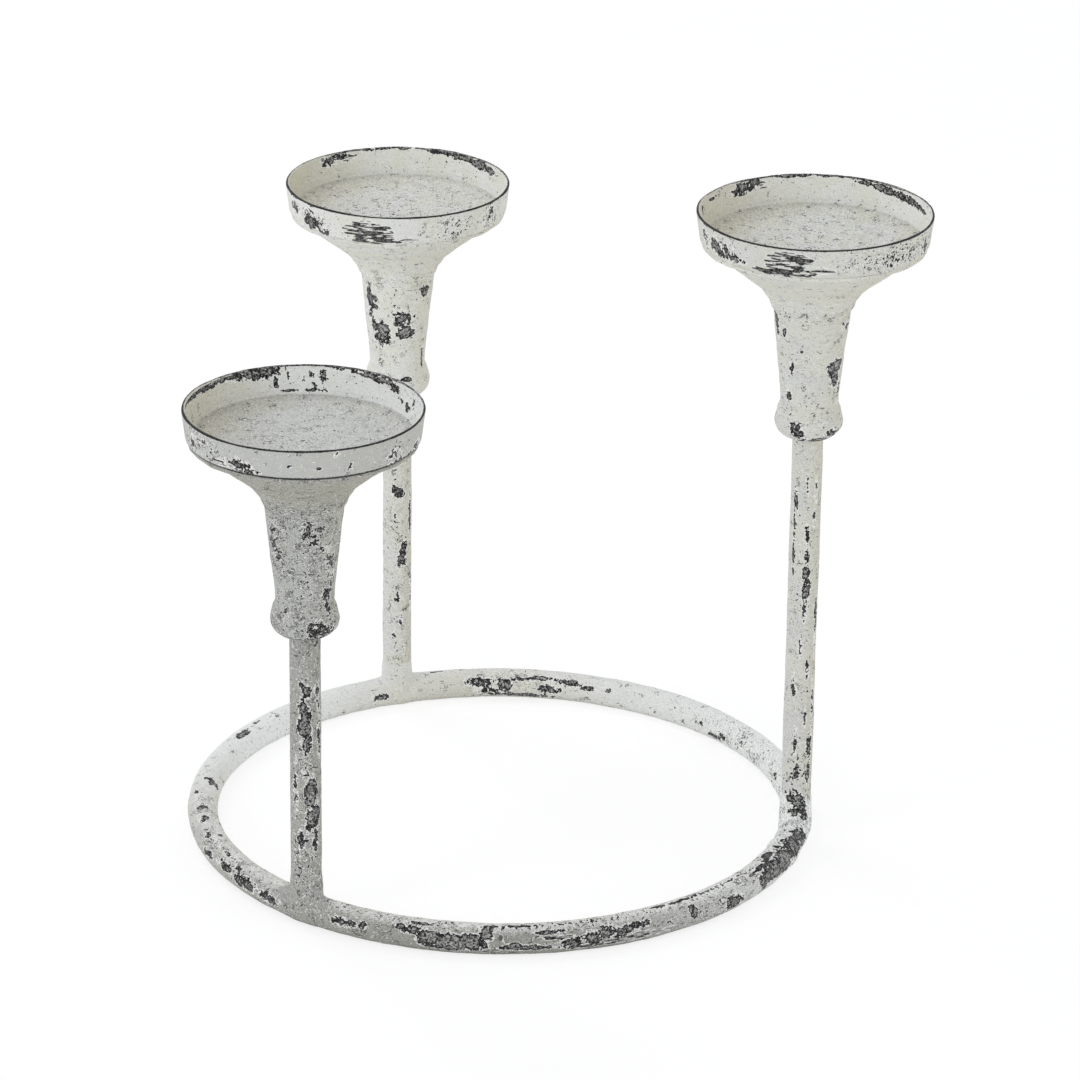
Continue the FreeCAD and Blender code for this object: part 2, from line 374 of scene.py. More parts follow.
FLECKED_PAN_OUTSIDE = {
    "short": [(-140, 5.5, 10, 4.4, 1), (-112, 7.4, 5, 2.8, 1.2), (-30, 6, 6, 3.2, 1)],
    "medium": [(-48, 5, 9, 3.6, 0.95), (-22, 5, 6, 4, 0.9), (-130, 6, 8, 4, 1.1)],
    "tall": [
        (-46, 5.2, 14, 4.2, 1.15), (-30, 5.4, 6, 3.4, 1.3), (-16, 5.6, 6, 4, 1.3),
        (-134, 5.6, 6, 4, 0.6),
    ],
}
WORN_PAN_INSIDE = {
    "short": [
        (-176, 0.7, 4.6, 0.7, 1.2), (170, 0.9, 3.6, 0.9, 1.15), (160, 0.8, 4.6, 0.8, 1.15),
        (148, 0.8, 5, 0.8, 1.2), (137, 0.9, 4.4, 0.8, 1.1), (128, 1.5, 4.4, 1.3, 1.25),
        (120.5, 2, 3.6, 1.7, 1.3), (114.6, 4.6, 0.7, 2.6, 1.05), (108, 3, 0.4, 1.5, 0.9),
        (101, 4.4, 0.5, 1.3, 0.9), (97, 3.2, 1, 1.3, 1), (91, 4.4, 1.3, 2.2, 1),
        (106, 8, 3, 0.4, 0.85), (98, 8.1, 3, 0.4, 0.95), (91, 7.9, 2, 0.5, 1),
        (95, 6, 0.9, 1, 0.85), (84, 0.7, 2.4, 0.5, 0.9), (73, 0.9, 2.6, 0.6, 1),
        (65, 1.2, 4.2, 0.7, 1.3), (57, 1.7, 3.8, 0.9, 1.3), (49, 2.7, 2.4, 1, 1.05),
        (41, 5.4, 2.4, 1, 0.85), (36, 6.4, 1.8, 1.2, 0.95), (30, 3.8, 0.7, 1.8, 0.85),
        (-60, 4, 6, 2, 0.9), (-120, 5, 5, 2.2, 0.9),
    ],
    "medium": [
        (139, 1.8, 3, 1.6, 1.1), (132, 1.2, 2.8, 1.2, 0.95), (112, 0.4, 4, 0.4, 1.2),
        (97, 0.4, 1.6, 0.4, 1.2), (75, 0.8, 4.4, 0.5, 1.2), (63, 1.1, 4.8, 0.8, 1.5),
        (51, 1.7, 4.4, 1.1, 1.6), (40, 2.2, 3.6, 0.9, 1.4), (-40, 4, 6, 2, 0.9),
        (-110, 4.6, 6, 2.4, 0.9),
    ],
    "tall": [
        (136, 2.2, 2.6, 1.8, 1.1), (129, 1.6, 2.4, 1.6, 1.15), (141, 3.2, 2, 1, 0.95),
        (160, 2, 2.2, 0.5, 1), (176, 2.4, 1, 1.6, 0.9), (112, 0.4, 2.4, 0.5, 1.2),
        (103, 0.4, 4, 0.5, 1.2), (90, 0.3, 1.4, 0.5, 1.2), (82, 0.3, 1, 0.4, 1.1),
        (70, 1.1, 3.4, 0.5, 1.3), (60, 1.6, 3.8, 0.8, 1.4), (50, 2.2, 4, 0.9, 1.35),
        (41, 2.6, 3.6, 1, 1.35), (32, 2.8, 3.2, 0.8, 1.2), (24, 3, 2.2, 0.6, 1),
        (-70, 4, 6, 2, 0.9), (-130, 5, 5, 2.2, 0.9),
    ],
}
STREAKED_PAN_INSIDE = {
    "short": [(154, 1.4, 7, 0.9, 0.8)],
    "medium": [(130, 2.4, 4, 1.2, 0.6)],
    "tall": [(128, 2.4, 5, 1.4, 0.6)],
}
WORN_SLEEVE = {
    "short": [
        (-139, 42, 1.4, 3.2, 0.75), (-130, 38, 1.6, 2.4, 0.65), (-128, 46.5, 1.6, 2.6, 0.6),
        (-74, 37, 1.6, 2.6, 0.85), (-58, 36.6, 2.2, 1.8, 0.7), (-66, 41, 1.5, 1.6, 0.65),
        (-50, 44, 2, 1, 0.5), (-33, 62, 1.4, 4, 0.7), (-22, 56, 1.2, 3.6, 0.55),
        (-58, 71, 2.4, 2, 1), (-36, 72.6, 2.6, 1.5, 0.95), (-95, 75.4, 7, 0.5, 1.2),
        (-60, 75.3, 4, 0.6, 1.2), (-118, 66, 0.6, 0.7, 0.9), (-30, 48, 1.4, 3, 0.75),
        (30, 44, 2.6, 4, 0.95), (84, 38, 3, 3, 0.95), (118, 58, 2.2, 5, 0.95),
        (160, 46, 2.2, 3.6, 0.95), (64, 71, 3.6, 1.8, 1), (140, 24, 5, 2, 0.8),
    ],
    "medium": [
        (-134, 40, 1.3, 4.6, 1.2), (-122, 39, 1.7, 0.7, 1.1), (-122, 42, 1.4, 1, 1.1),
        (-110, 51.6, 2.1, 3.6, 1.45), (-126, 50, 1, 3, 1), (-76, 45.6, 1.7, 2.4, 1.35),
        (-66, 51, 2.3, 2, 1.5), (-60, 45.6, 0.7, 2.2, 1), (-84, 44, 0.9, 0.8, 1),
        (-50, 45, 0.7, 0.9, 0.9), (-28, 37, 1.7, 1.4, 1.15), (-34, 35.4, 1.5, 1, 0.9),
        (-84, 40.6, 0.8, 0.5, 0.9), (-62, 68.2, 1.6, 0.7, 1.4), (-80, 68.4, 0.5, 0.4, 1),
        (-20, 62, 0.6, 3, 1), (24, 50, 2.6, 3.6, 1.2), (80, 42, 3, 3, 1.2), (120, 60, 2.4, 3, 1.2),
        (166, 38, 2.2, 3.4, 1.1), (44, 70, 3, 1.4, 1.1), (100, 22, 5, 1.8, 0.8),
    ],
    "tall": [
        (-20, 36.8, 2, 1.2, 1.1), (-30, 35, 1, 1, 0.8), (-35, 50, 2.5, 1.9, 1.6),
        (-34, 53.6, 1.7, 2.4, 1.5), (-152, 36.5, 1.2, 3.4, 1.2), (-46, 50, 1.4, 0.8, 1),
        (-118, 50, 0.8, 2.2, 0.75), (-108, 47, 0.6, 1, 0.8), (-132, 38, 0.8, 1.6, 0.8),
        (-100, 44, 0.5, 0.5, 0.9), (-104, 71.6, 1.8, 2, 1.1), (-112, 69.6, 1, 1.2, 0.9),
        (-70, 75, 4.4, 0.9, 1), (-38, 73, 2.4, 1.4, 0.9), (-60, 69, 1.2, 0.6, 0.7),
        (-14, 60, 0.8, 4, 0.9), (-128, 60, 1, 2.6, 0.7), (26, 42, 2.6, 3.6, 1.1),
        (76, 56, 2.6, 4, 1.1), (130, 40, 2.6, 3, 1.1), (174, 52, 2.2, 3.6, 1),
        (96, 71, 3.6, 1.8, 1), (60, 24, 5, 1.8, 0.8),
    ],
}
FLECKED_SLEEVE = {
    "short": [
        (-64, 39, 3.8, 4.2, 1.6), (-134, 42, 2.8, 6.4, 1.6), (-32, 60, 2.4, 7.6, 1.5),
        (-50, 72.4, 5, 2.8, 1.7), (-80, 52, 30, 28, 0.5),
    ],
    "medium": [(-100, 36, 5, 3, 0.5), (-40, 40, 5, 6, 0.4)],
    "tall": [
        (-118, 48, 5, 7, 0.5), (-120, 36, 5, 5, 0.4), (-60, 68, 9, 7, 0.5), (-30, 46, 4, 8, 0.4),
    ],
}
WORN_POST = {
    "short": [
        (-76, 94.6, 1.3, 1.8, 1.1), (-92, 92.6, 0.8, 0.7, 0.9), (-84, 106.6, 1.7, 4.6, 1.5),
        (-90, 100.6, 1.2, 2.4, 1.2), (-74, 113.6, 1.2, 3, 1.3), (-72, 124, 1.2, 2.2, 0.85),
        (-64, 121, 0.8, 1.2, 0.8), (-58, 131, 1.5, 4.6, 1.4), (-50, 139, 1.8, 4.4, 1.4),
        (-66, 142.6, 1.2, 1.6, 1.1), (-40, 145, 1, 2.4, 1), (-99, 147, 1.1, 2.4, 1.1),
        (-106, 151.4, 0.6, 1.4, 1), (-42, 149.4, 0.9, 2, 1.1), (-120, 128, 1, 8, 0.6),
        (-28, 96, 0.8, 3, 0.9), (-20, 110, 0.9, 7, 0.8), (40, 104, 1.6, 5, 1.2),
        (100, 126, 1.8, 6, 1.3), (160, 98, 1.4, 4, 1.1), (130, 146, 1.4, 4, 1.1),
        (20, 132, 1.4, 5, 1.1),
    ],
    "medium": [
        (-80, 111.6, 1.5, 1.2, 1.1), (-66, 112.6, 1.2, 1.4, 1), (-94, 109.6, 0.8, 0.9, 0.9),
        (-60, 137, 1.5, 2.4, 1.3), (-72, 140.6, 0.8, 2, 1), (-50, 132.6, 1, 1.8, 1),
        (-80, 151.6, 0.8, 1.6, 0.9), (-88, 122, 0.5, 1.8, 0.8), (-66, 160, 0.5, 2.4, 0.8),
        (-94, 166, 0.6, 1.6, 0.8), (-56, 172, 0.6, 2, 0.8), (-20, 120, 0.7, 7, 0.75),
        (-14, 150, 0.7, 6, 0.75), (40, 116, 1.6, 5, 1.2), (100, 142, 1.8, 6, 1.3),
        (160, 128, 1.4, 4, 1.1), (120, 168, 1.4, 4, 1.1), (-62, 98, 1, 2, 1),
    ],
    "tall": [
        (-74, 109, 0.5, 3, 1.2), (-74, 117, 0.5, 3.4, 1.2), (-75, 123, 0.9, 2.4, 1.3),
        (-72, 129.6, 1, 2.6, 1.5), (-76, 136, 0.4, 3.6, 1.2), (-126, 98, 0.7, 3.4, 1.1),
        (-128, 106, 0.5, 5, 1.2), (-128, 117, 0.5, 6, 1.2), (-48, 104, 0.5, 2.6, 0.9),
        (-80, 92, 0.5, 2.4, 0.8), (-44, 95, 0.5, 4, 0.8), (-88, 150, 0.7, 3, 0.9),
        (-56, 158, 0.5, 3, 0.8), (-110, 164, 0.8, 4, 0.8), (-60, 176, 0.6, 3, 0.8),
        (-36, 186, 1, 3.4, 1.2), (-96, 184, 0.6, 4, 0.9), (-88, 196, 0.8, 2, 1),
        (-20, 140, 0.8, 10, 1), (-24, 172, 0.7, 8, 0.9), (-84, 205.6, 1.7, 1.9, 1.4),
        (-108, 205, 1, 2, 1.2), (-66, 208, 1.3, 1.8, 1.3), (-92, 210, 1.6, 1.2, 1.2),
        (-36, 196, 0.8, 3.6, 1.3), (-50, 212, 1.4, 2, 1.2), (40, 112, 1.6, 5, 1.2),
        (100, 150, 1.8, 6, 1.3), (160, 180, 1.4, 5, 1.2), (70, 190, 1.4, 4, 1.1),
    ],
}
FLECKED_POST = {
    "short": [(-100, 120, 4, 24, 0.6), (-84, 154, 6, 14, 0.9)],
    "medium": [(-80, 130, 4, 30, 0.35)],
    "tall": [(-100, 130, 3, 30, 0.4), (-70, 160, 4, 36, 0.3), (-84, 200, 5, 10, 0.9)],
}
WORN_RING = [
    (-134, 12, 4.4, 1.7, 1.1), (-127, 6, 3.6, 1.5, 1.1), (-141, 24, 3.8, 1.2, 1),
    (-148, 10, 3, 1.2, 0.9), (-137, 48, 2.4, 0.9, 0.8), (-142, 66, 2.6, 0.7, 0.7),
    (-150, 100, 2, 0.6, 0.7), (-175, 128, 1.8, 1.7, 1.3), (-176, 96, 1.2, 1.2, 0.8),
    (-170, 62, 2.2, 0.8, 0.8), (-163, 92, 1.3, 2.2, 0.95), (-158, 80, 1.8, 1.6, 0.95),
    (-152, 58, 1.8, 1, 0.8), (-156, 150, 3, 0.9, 0.9), (162, 100, 3.4, 1.2, 1.15),
    (156, 92, 1.6, 0.8, 0.9), (-110, 16, 3, 1.3, 1.1), (-106, 22, 1.2, 1, 0.9),
    (-99, 46, 1.8, 0.8, 1.2), (-97, 36, 2.6, 1.2, 1.3), (-94, 14, 3, 1.9, 1.4),
    (-96, 68, 3, 0.6, 1), (-90.5, 10, 4, 2, 1.6), (-86.5, 8, 3.6, 2, 1.6),
    (-83.6, 48, 1.6, 2.2, 1.5), (-90, -16, 6, 1, 1.3), (-79, -2, 1.8, 0.9, 1.1),
    (-76, -10, 7, 0.8, 1.3), (-72.5, 46, 3.4, 0.6, 1.2), (-68.5, 4, 3.2, 1.3, 1.15),
    (-65, 8, 3, 1.8, 1.25), (-62, 24, 2.6, 1.7, 1.25), (-60, 16, 1.8, 1.5, 1.1),
    (-66, -22, 6, 0.8, 1.1), (-57.2, 26, 3, 1.1, 1.2), (-54.4, 30, 1.2, 0.9, 1),
    (-50, 14, 0.9, 0.5, 0.9), (-44.5, 28, 1, 1.9, 1.7), (-34.6, -4, 2.8, 1.9, 1.45),
    (-38, 20, 0.7, 0.9, 0.9), (-25.4, 12, 2, 2.2, 1.3), (-22, 26, 4.4, 2.6, 1.6),
    (-17, 26, 4.6, 2.8, 1.6), (-12, 34, 4.4, 2.8, 1.5), (-8, 46, 4, 2.2, 1.2), (-20, 0, 8, 1, 1.2),
    (-9, 10, 6, 1.4, 1.1), (-28, 60, 2, 0.6, 0.9), (-24, 70, 2.4, 0.6, 0.9),
    (103, 150, 4, 1.4, 1.1), (98, 164, 2.4, 1.7, 1.15), (94, 140, 4, 0.7, 1),
    (88, 176, 3, 1.2, 1.2), (90, 132, 4.6, 0.7, 1), (84, 140, 3.4, 0.8, 1), (80, 154, 3.2, 0.8, 1),
    (94, 212, 9, 0.8, 1.3), (100, 190, 5, 1.4, 0.8), (75, 150, 1.4, 0.8, 1), (47, 200, 3, 0.9, 1),
    (52, 166, 2.6, 1, 0.8), (44, 184, 2.2, 1.2, 0.8), (60, 160, 2.2, 0.6, 0.7),
    (38, 158, 3, 1.2, 0.6), (20, 150, 2.2, 0.9, 0.7), (13, 170, 2, 0.9, 0.8),
    (125, 176, 2.4, 1.1, 1.1), (112, 90, 2.6, 0.9, 0.8), (100, 62, 9, 0.6, 0.9),
    (78, 58, 12, 0.7, 1.1), (52, 56, 10, 0.7, 1.1), (140, 20, 6, 1.8, 1.2), (168, 10, 5, 1.6, 1.1),
    (96, 4, 7, 2, 1.3), (70, 12, 5, 1.8, 1.2), (34, 6, 6, 2, 1.3), (10, 8, 4, 1.6, 1.1),
    (24, 50, 3, 1, 0.9), (-60, 150, 6, 1.6, 1.1), (-100, 160, 5, 1.4, 1.1),
    (-30, 164, 6, 1.6, 1.1), (-140, 170, 5, 1.4, 1), (-90, 88, 5, 0.6, 0.6),
]
FLECKED_RING = [
    (-72, 80, 22, 1.4, 1.5), (-136, 40, 24, 4, 0.8), (-118, 50, 14, 5, 0.8),
    (-165, 80, 14, 4, 0.4), (-76, 70, 40, 1.4, 1.1), (-42, 30, 12, 4, 0.6),
    (-40, 84, 26, 0.9, 1.6), (-18, 84, 12, 2.6, 1.3), (-4, 60, 8, 6, 0.9), (42, 150, 20, 4, 0.6),
    (14, 130, 14, 5, 0.7), (86, 150, 10, 3, 0.4),
]
STREAKED_RING = [
    (-80, 78, 16, 0.7, 0.45), (-71, 24, 4, 0.6, 0.8), (-60, -12, 16, 1.4, 0.55),
    (-20, 76, 12, 2.2, 0.6), (-42, 88, 20, 0.9, 0.55), (66, 58, 30, 0.9, 0.6),
]
CRACKED_RING = [
    (97, 146, 10, 2, 0.9), (-162, 90, 8, 3, 0.8), (-148, 60, 7, 2.6, 0.7), (30, 150, 22, 4, 0.5),
    (-8, 60, 12, 4, 0.7), (-24, 70, 14, 2.6, 0.6),
]

# How much painted shade the paint takes and how wrinkled it is, from 0 to 1: the short holder,
# standing in front, takes the most painted shade
PAINTED_SHADE = {
    "floor": {"short": 0.38, "medium": 0.18, "tall": 0.18},
    "band": {"short": 0.55, "medium": 0.04, "tall": 0.24},
    "flare": {"short": 0.68, "medium": 0.03, "tall": 0.03},
    "sleeve": {"short": 0.49, "medium": 0.02, "tall": 0.14},
    "post": {"short": 0.82, "medium": 0.2, "tall": 0.2},
}
CREASED = {
    "sleeve": {"short": 0.74, "medium": 0.13, "tall": 0.1},
    "post": {"short": 0.5, "medium": 0.24, "tall": 0.2},
}
CREASED_FLOOR = 0.34
CREASED_WALL = 0.04
# How much painted warm shade lies right under each pan
WARM_SHADE_UNDER_PAN = {"short": 0.95, "medium": 0.2, "tall": 0.2}

# Bearings at which painted warm shade, painted shade and the ring's painted highlight are
# strongest, and at which the ring's creases are roughest
WARM_SHADED_SIDE = -10
WARM_SHADED_SIDE_OF_SLEEVE = -5
WARM_SHADED_SIDE_IN_PAN = 178
FRONT_OF_RING = -86
ROUGH_SIDE_OF_RING = -70
HIGHLIT_BY_TALL_POST = 22
HIGHLIT_BY_MEDIUM_POST = 155

# Round the ring's bar: its inner side, the angle below which painted shade lies, and its underside
INNER_SIDE = 190
SHADE_BELOW = 74
SHADE_FULL_AFTER = 36
UNDERSIDE = -100
UNDERSIDE_FADE = 30
# Round the ring: from this bearing back, either way, its inner side takes painted warm shade
WARM_SHADE_FROM = 66
WARM_SHADE_FULL_AFTER = 30

# Down the sleeves: the middle of the flare, its end, and the collar
FLARE_MIDDLE = 20
FLARE_REACH = 12
FLARE_SMOOTH_TO = 27
FLARE_END = 30
COLLAR_DEPTH = 31
COLLAR_REACH = 3.5

# Depths and radii on the pans, where the wall, the fold, the margin and the floor part
FOLD_DEPTH = 9.0
FOLD_SHADED_TO = 10.8
MARGIN_DEPTH = 8.0
FLOOR_DEPTH = 10.0
FLECKED_FLOOR_RADIUS = 24
WARM_SHADE_WALL_RADIUS = 36
SHADED_FOLD_RADIUS = 34.5
SHADED_FOLD_REACH = 3.0
LIP_RADIUS = 35.3
LIP_DEPTH = 9.5
# The middle of the pan's sheet, as a radius on the wall and as a depth on the margin
WALL_MIDDLE = 37.48
WALL_LEAN = 0.13
MARGIN_MIDDLE = 9.2
MARGIN_START = 36.8
MARGIN_SLOPE = 0.235
FLOOR_MIDDLE = 11.5
# The line rubbed bare along the rim
RIM_OUTSIDE = 37.5
RIM_LINE_WITHIN = 36.6
RIM_LINE_INNER = 36.5
RIM_LINE_WIDER_AT_SIDES = 0.75
RIM_LINE_DEPTH = 0.45
RIM_LINE_BEHIND = 98
RIM_LINE_STRENGTH = 6.0
RIM_LINE_WEAKER_BEHIND = 5.25
RIM_LINE_STEP = 20.0
RIM_LINE_FALL = 16.0
RIM_LINE_OVER_EDGE = 0.12
RIM_LINE_OVER_EDGE_BEHIND = 0.2
# Outside, the paint right under that line is whole wherever no place of wear lies
WHOLE_UNDER_RIM = 1.4
WHOLE_BELOW = 0.05
WHOLE = -6.0
# The short pan's lip rests bare on its sleeve
BARE = 5.0

# The foot takes its post's wear above one height, and its painted shade over a rise from another
FOOT_TAKES_WEAR = 9.0
FOOT_TAKES_SHADE = 4.0
FOOT_SHADE_RISE = 8.0


def round_the_turn(angle):
    """An angle in degrees brought between -180 and 180."""
    return (angle + 180) % 360 - 180


def facing(angle, towards):
    """1 at an angle that faces a bearing squarely, and 0 from a quarter turn off."""
    return max(0.0, math.cos(math.radians(angle - towards)))


def near(value, middle, reach):
    """1 at the middle, falling evenly to 0 at its reach either way."""
    return max(0.0, 1 - abs(value - middle) / reach)


def rising(value, start, run):
    """0 up to a start, rising evenly to 1 over a run."""
    return min(1.0, max(0.0, (value - start) / run))


def strength_at(places, bearing, level, bearing_size, level_size):
    """How strong the nearest place is here, halved at the edge of its ellipse."""
    strongest = 0.0
    for at_bearing, at_level, half_width, half_height, strength in places:
        across = round_the_turn(bearing - at_bearing) * bearing_size / half_width
        if abs(across) < 2:
            along = (level - at_level) * level_size / half_height
            if abs(along) < 2:
                strongest = max(strongest, strength * (1 - math.hypot(across, along) / 2))
    return strongest


def found_on(table, holder, bearing, radius, depth):
    """The strength of a holder's places of wear at a point turned about its post's axis."""
    return strength_at(table[holder], bearing, depth, math.radians(radius), 1.0)


def found_on_bar(places, bearing, girth):
    """The strength of the ring's places of wear at a point on its bar."""
    return strength_at(places, bearing, girth, math.radians(RING_RADIUS), math.radians(BAR_RADIUS))


def about_axis(at, centre, rim):
    """Bearing in degrees, radius and depth below the rim, in millimetres, of a point."""
    x = at.x / MM - centre[0]
    y = at.y / MM - centre[1]
    return math.degrees(math.atan2(y, x)), math.hypot(x, y), rim - at.z / MM


def about_bar(at):
    """Angle round the ring, and angle round its bar counted up from its underside, of a point."""
    x, y, z = at / MM
    bearing = math.degrees(math.atan2(y, x))
    girth = math.degrees(math.atan2(z - BAR_MIDDLE, math.hypot(x, y) - RING_RADIUS))
    return bearing, girth if girth > UNDERSIDE else girth + 360


# The pans' wear, and the light and shade painted on them

def in_pan(radius, depth):
    """Whether a point of a pan lies on its upper, inner side."""
    if depth < FOLD_DEPTH:
        return radius < WALL_MIDDLE - depth * WALL_LEAN
    return depth < min(MARGIN_MIDDLE + (MARGIN_START - radius) * MARGIN_SLOPE, FLOOR_MIDDLE)


def rim_line(bearing, radius, depth):
    """The line rubbed bare along the rim, bold in front and thin behind."""
    behind = facing(bearing, RIM_LINE_BEHIND)
    inner = RIM_LINE_INNER + RIM_LINE_WIDER_AT_SIDES * math.cos(math.radians(bearing)) ** 2
    over_edge = depth
    if radius <= RIM_OUTSIDE:
        over_edge = depth - RIM_LINE_OVER_EDGE - RIM_LINE_OVER_EDGE_BEHIND * behind
    full = RIM_LINE_STRENGTH - RIM_LINE_WEAKER_BEHIND * behind ** 0.3
    from_inner = (radius - inner) * RIM_LINE_STEP
    return max(0.0, min(full, from_inner) - RIM_LINE_FALL * max(0.0, over_edge))


def worn_pan(holder, bearing, radius, depth):
    """The chips, the bare line along the rim and the short pan's bare lip."""
    inside = in_pan(radius, depth)
    if depth < RIM_LINE_DEPTH and radius > RIM_LINE_WITHIN:
        return rim_line(bearing, radius, depth)
    if holder == "short" and depth > LIP_DEPTH and radius > LIP_RADIUS and not inside:
        return BARE
    table = WORN_PAN_INSIDE if inside else WORN_PAN_OUTSIDE
    found = found_on(table, holder, bearing, radius, depth)
    if depth < WHOLE_UNDER_RIM and radius > RIM_OUTSIDE and found < WHOLE_BELOW:
        return WHOLE
    return found


def streaked_pan(holder, bearing, radius, depth):
    """The long streaks, on the wall's two sides."""
    table = STREAKED_PAN_INSIDE if in_pan(radius, depth) else STREAKED_PAN_OUTSIDE
    return found_on(table, holder, bearing, radius, depth)


def flecked_pan(holder, bearing, radius, depth):
    """Flecks in places outside, and all over the floor, most in its middle."""
    if in_pan(radius, depth):
        middle = near(radius, 0, FLECKED_FLOOR_RADIUS)
        return 0.2 + 0.35 * middle if depth > FLOOR_DEPTH else 0.1
    return found_on(FLECKED_PAN_OUTSIDE, holder, bearing, radius, depth)


def warm_shade_pan(holder, bearing, radius, depth):
    """Painted warm shade on the shaded side within and in the fold, and outside on the right."""
    if not in_pan(radius, depth):
        return 0.25 * facing(bearing, WARM_SHADED_SIDE) ** 2
    in_fold = 0.22 if FOLD_DEPTH < depth < FOLD_SHADED_TO else 0.0
    outwards = (radius / WARM_SHADE_WALL_RADIUS) ** 2
    return min(0.85, facing(bearing, WARM_SHADED_SIDE_IN_PAN) ** 2 * outwards * 0.8 + in_fold)


def painted_shade_pan(holder, bearing, radius, depth):
    """Painted shade on the band outside, on the floor, and in the fold round the floor."""
    if not in_pan(radius, depth):
        return PAINTED_SHADE["band"][holder]
    fold = near(radius, SHADED_FOLD_RADIUS, SHADED_FOLD_REACH) if depth > MARGIN_DEPTH else 0.0
    return 0.26 * fold + (PAINTED_SHADE["floor"][holder] if depth > FOLD_DEPTH else 0.0)


def creased_pan(holder, bearing, radius, depth):
    """The floor is wrinkled, the wall smooth, and the flecked places outside half as much."""
    if in_pan(radius, depth):
        return CREASED_FLOOR if depth > FOLD_DEPTH else CREASED_WALL
    return 0.5 * found_on(FLECKED_PAN_OUTSIDE, holder, bearing, radius, depth)


# The sleeves' and the posts' wear, and the light and shade painted on them

def warm_shade_sleeve(holder, bearing, radius, depth):
    """Painted warm shade round the flare under the pan, and on the right."""
    under_pan = WARM_SHADE_UNDER_PAN[holder] * near(depth, FLARE_MIDDLE, FLARE_REACH)
    return min(1.0, under_pan + 0.5 * facing(bearing, WARM_SHADED_SIDE_OF_SLEEVE) ** 2)


def painted_shade_sleeve(holder, bearing, radius, depth):
    """The flare under the pan and the sleeve below it take painted shade by different amounts."""
    return PAINTED_SHADE["sleeve" if depth > FLARE_END else "flare"][holder]


def creased_sleeve(holder, bearing, radius, depth):
    """Most wrinkled at the collar, and half as much on the flare."""
    share = 0.5 if depth < FLARE_SMOOTH_TO else 1.0
    return CREASED["sleeve"][holder] * share + 0.3 * near(depth, COLLAR_DEPTH, COLLAR_REACH)


# The ring's wear, and the light and shade painted on it

def painted_highlight_ring(bearing, girth):
    """A painted highlight where the light falls on the ring: behind the tall post and in front of
    the medium one.
    """
    return max(facing(bearing, HIGHLIT_BY_TALL_POST) ** 2, facing(bearing, HIGHLIT_BY_MEDIUM_POST) ** 8)


def warm_shade_ring(bearing, girth):
    """Painted warm shade: a little all round but under the painted highlight, and more on the inner
    side, behind on the left.
    """
    behind = rising(abs(bearing), WARM_SHADE_FROM, WARM_SHADE_FULL_AFTER)
    return 0.1 * (1 - painted_highlight_ring(bearing, girth)) + 0.4 * behind * facing(girth, INNER_SIDE)


def painted_shade_ring(bearing, girth):
    """Painted shade: a little all round but under the painted highlight, and most outside and
    below, at the front.
    """
    front = facing(bearing, FRONT_OF_RING) ** 0.7
    side = rising(SHADE_BELOW - girth, 0, SHADE_FULL_AFTER) * rising(girth, UNDERSIDE, UNDERSIDE_FADE)
    return 0.1 * (1 - painted_highlight_ring(bearing, girth)) + 0.9 * front * side


def creased_ring(bearing, girth):
    """The ring's paint is roughest at the front and cleanest behind."""
    rough = 0.12 + 0.5 * facing(bearing, ROUGH_SIDE_OF_RING)
    return rough + found_on_bar(CRACKED_RING, bearing, girth)


# The kinds of wear and of painted light and shade of each kind of piece, by the name of the
# attribute that holds them
PAN_WEAR_AND_PAINTED_LIGHT = {
    "worn": worn_pan, "streaked": streaked_pan, "flecked": flecked_pan,
    "warm_shade": warm_shade_pan, "painted_shade": painted_shade_pan, "creased": creased_pan,
}
SLEEVE_WEAR_AND_PAINTED_LIGHT = {
    "worn": lambda *place: found_on(WORN_SLEEVE, *place),
    "flecked": lambda *place: found_on(FLECKED_SLEEVE, *place),
    "warm_shade": warm_shade_sleeve,
    "painted_shade": painted_shade_sleeve,
    "creased": creased_sleeve,
}
POST_WEAR_AND_PAINTED_LIGHT = {
    "worn": lambda *place: found_on(WORN_POST, *place),
    "flecked": lambda *place: found_on(FLECKED_POST, *place),
    # Painted warm shade on the right side, and painted shade all over the post
    "warm_shade": lambda holder, bearing, *_: 0.6 * facing(bearing, WARM_SHADED_SIDE) ** 1.5,
    "painted_shade": lambda holder, *place: PAINTED_SHADE["post"][holder],
    "creased": lambda holder, *place: CREASED["post"][holder],
}
RING_WEAR_AND_PAINTED_LIGHT = {
    "worn": lambda *place: found_on_bar(WORN_RING, *place),
    "streaked": lambda *place: found_on_bar(STREAKED_RING, *place),
    "flecked": lambda *place: found_on_bar(FLECKED_RING, *place),
    "warm_shade": warm_shade_ring, "painted_shade": painted_shade_ring, "creased": creased_ring, "painted_highlight": painted_highlight_ring,
}


def keep_attribute(piece, name, values):
    """Keeps a number for every point of a piece, for the materials to read."""
    kept = piece.data.attributes.new(name, "FLOAT", "POINT")
    kept.data.foreach_set("value", values)


def turned_wear_and_painted_light(piece, holder, kinds):
    """Keeps each kind of wear and of painted light and shade for every point of a piece turned
    about its post's axis.
    """
    angle, rim = HOLDERS[holder]
    centre = on_ring(angle)
    places = [about_axis(point.co, centre, rim) for point in piece.data.vertices]
    for name, strength in kinds.items():
        keep_attribute(piece, name, [strength(holder, *place) for place in places])


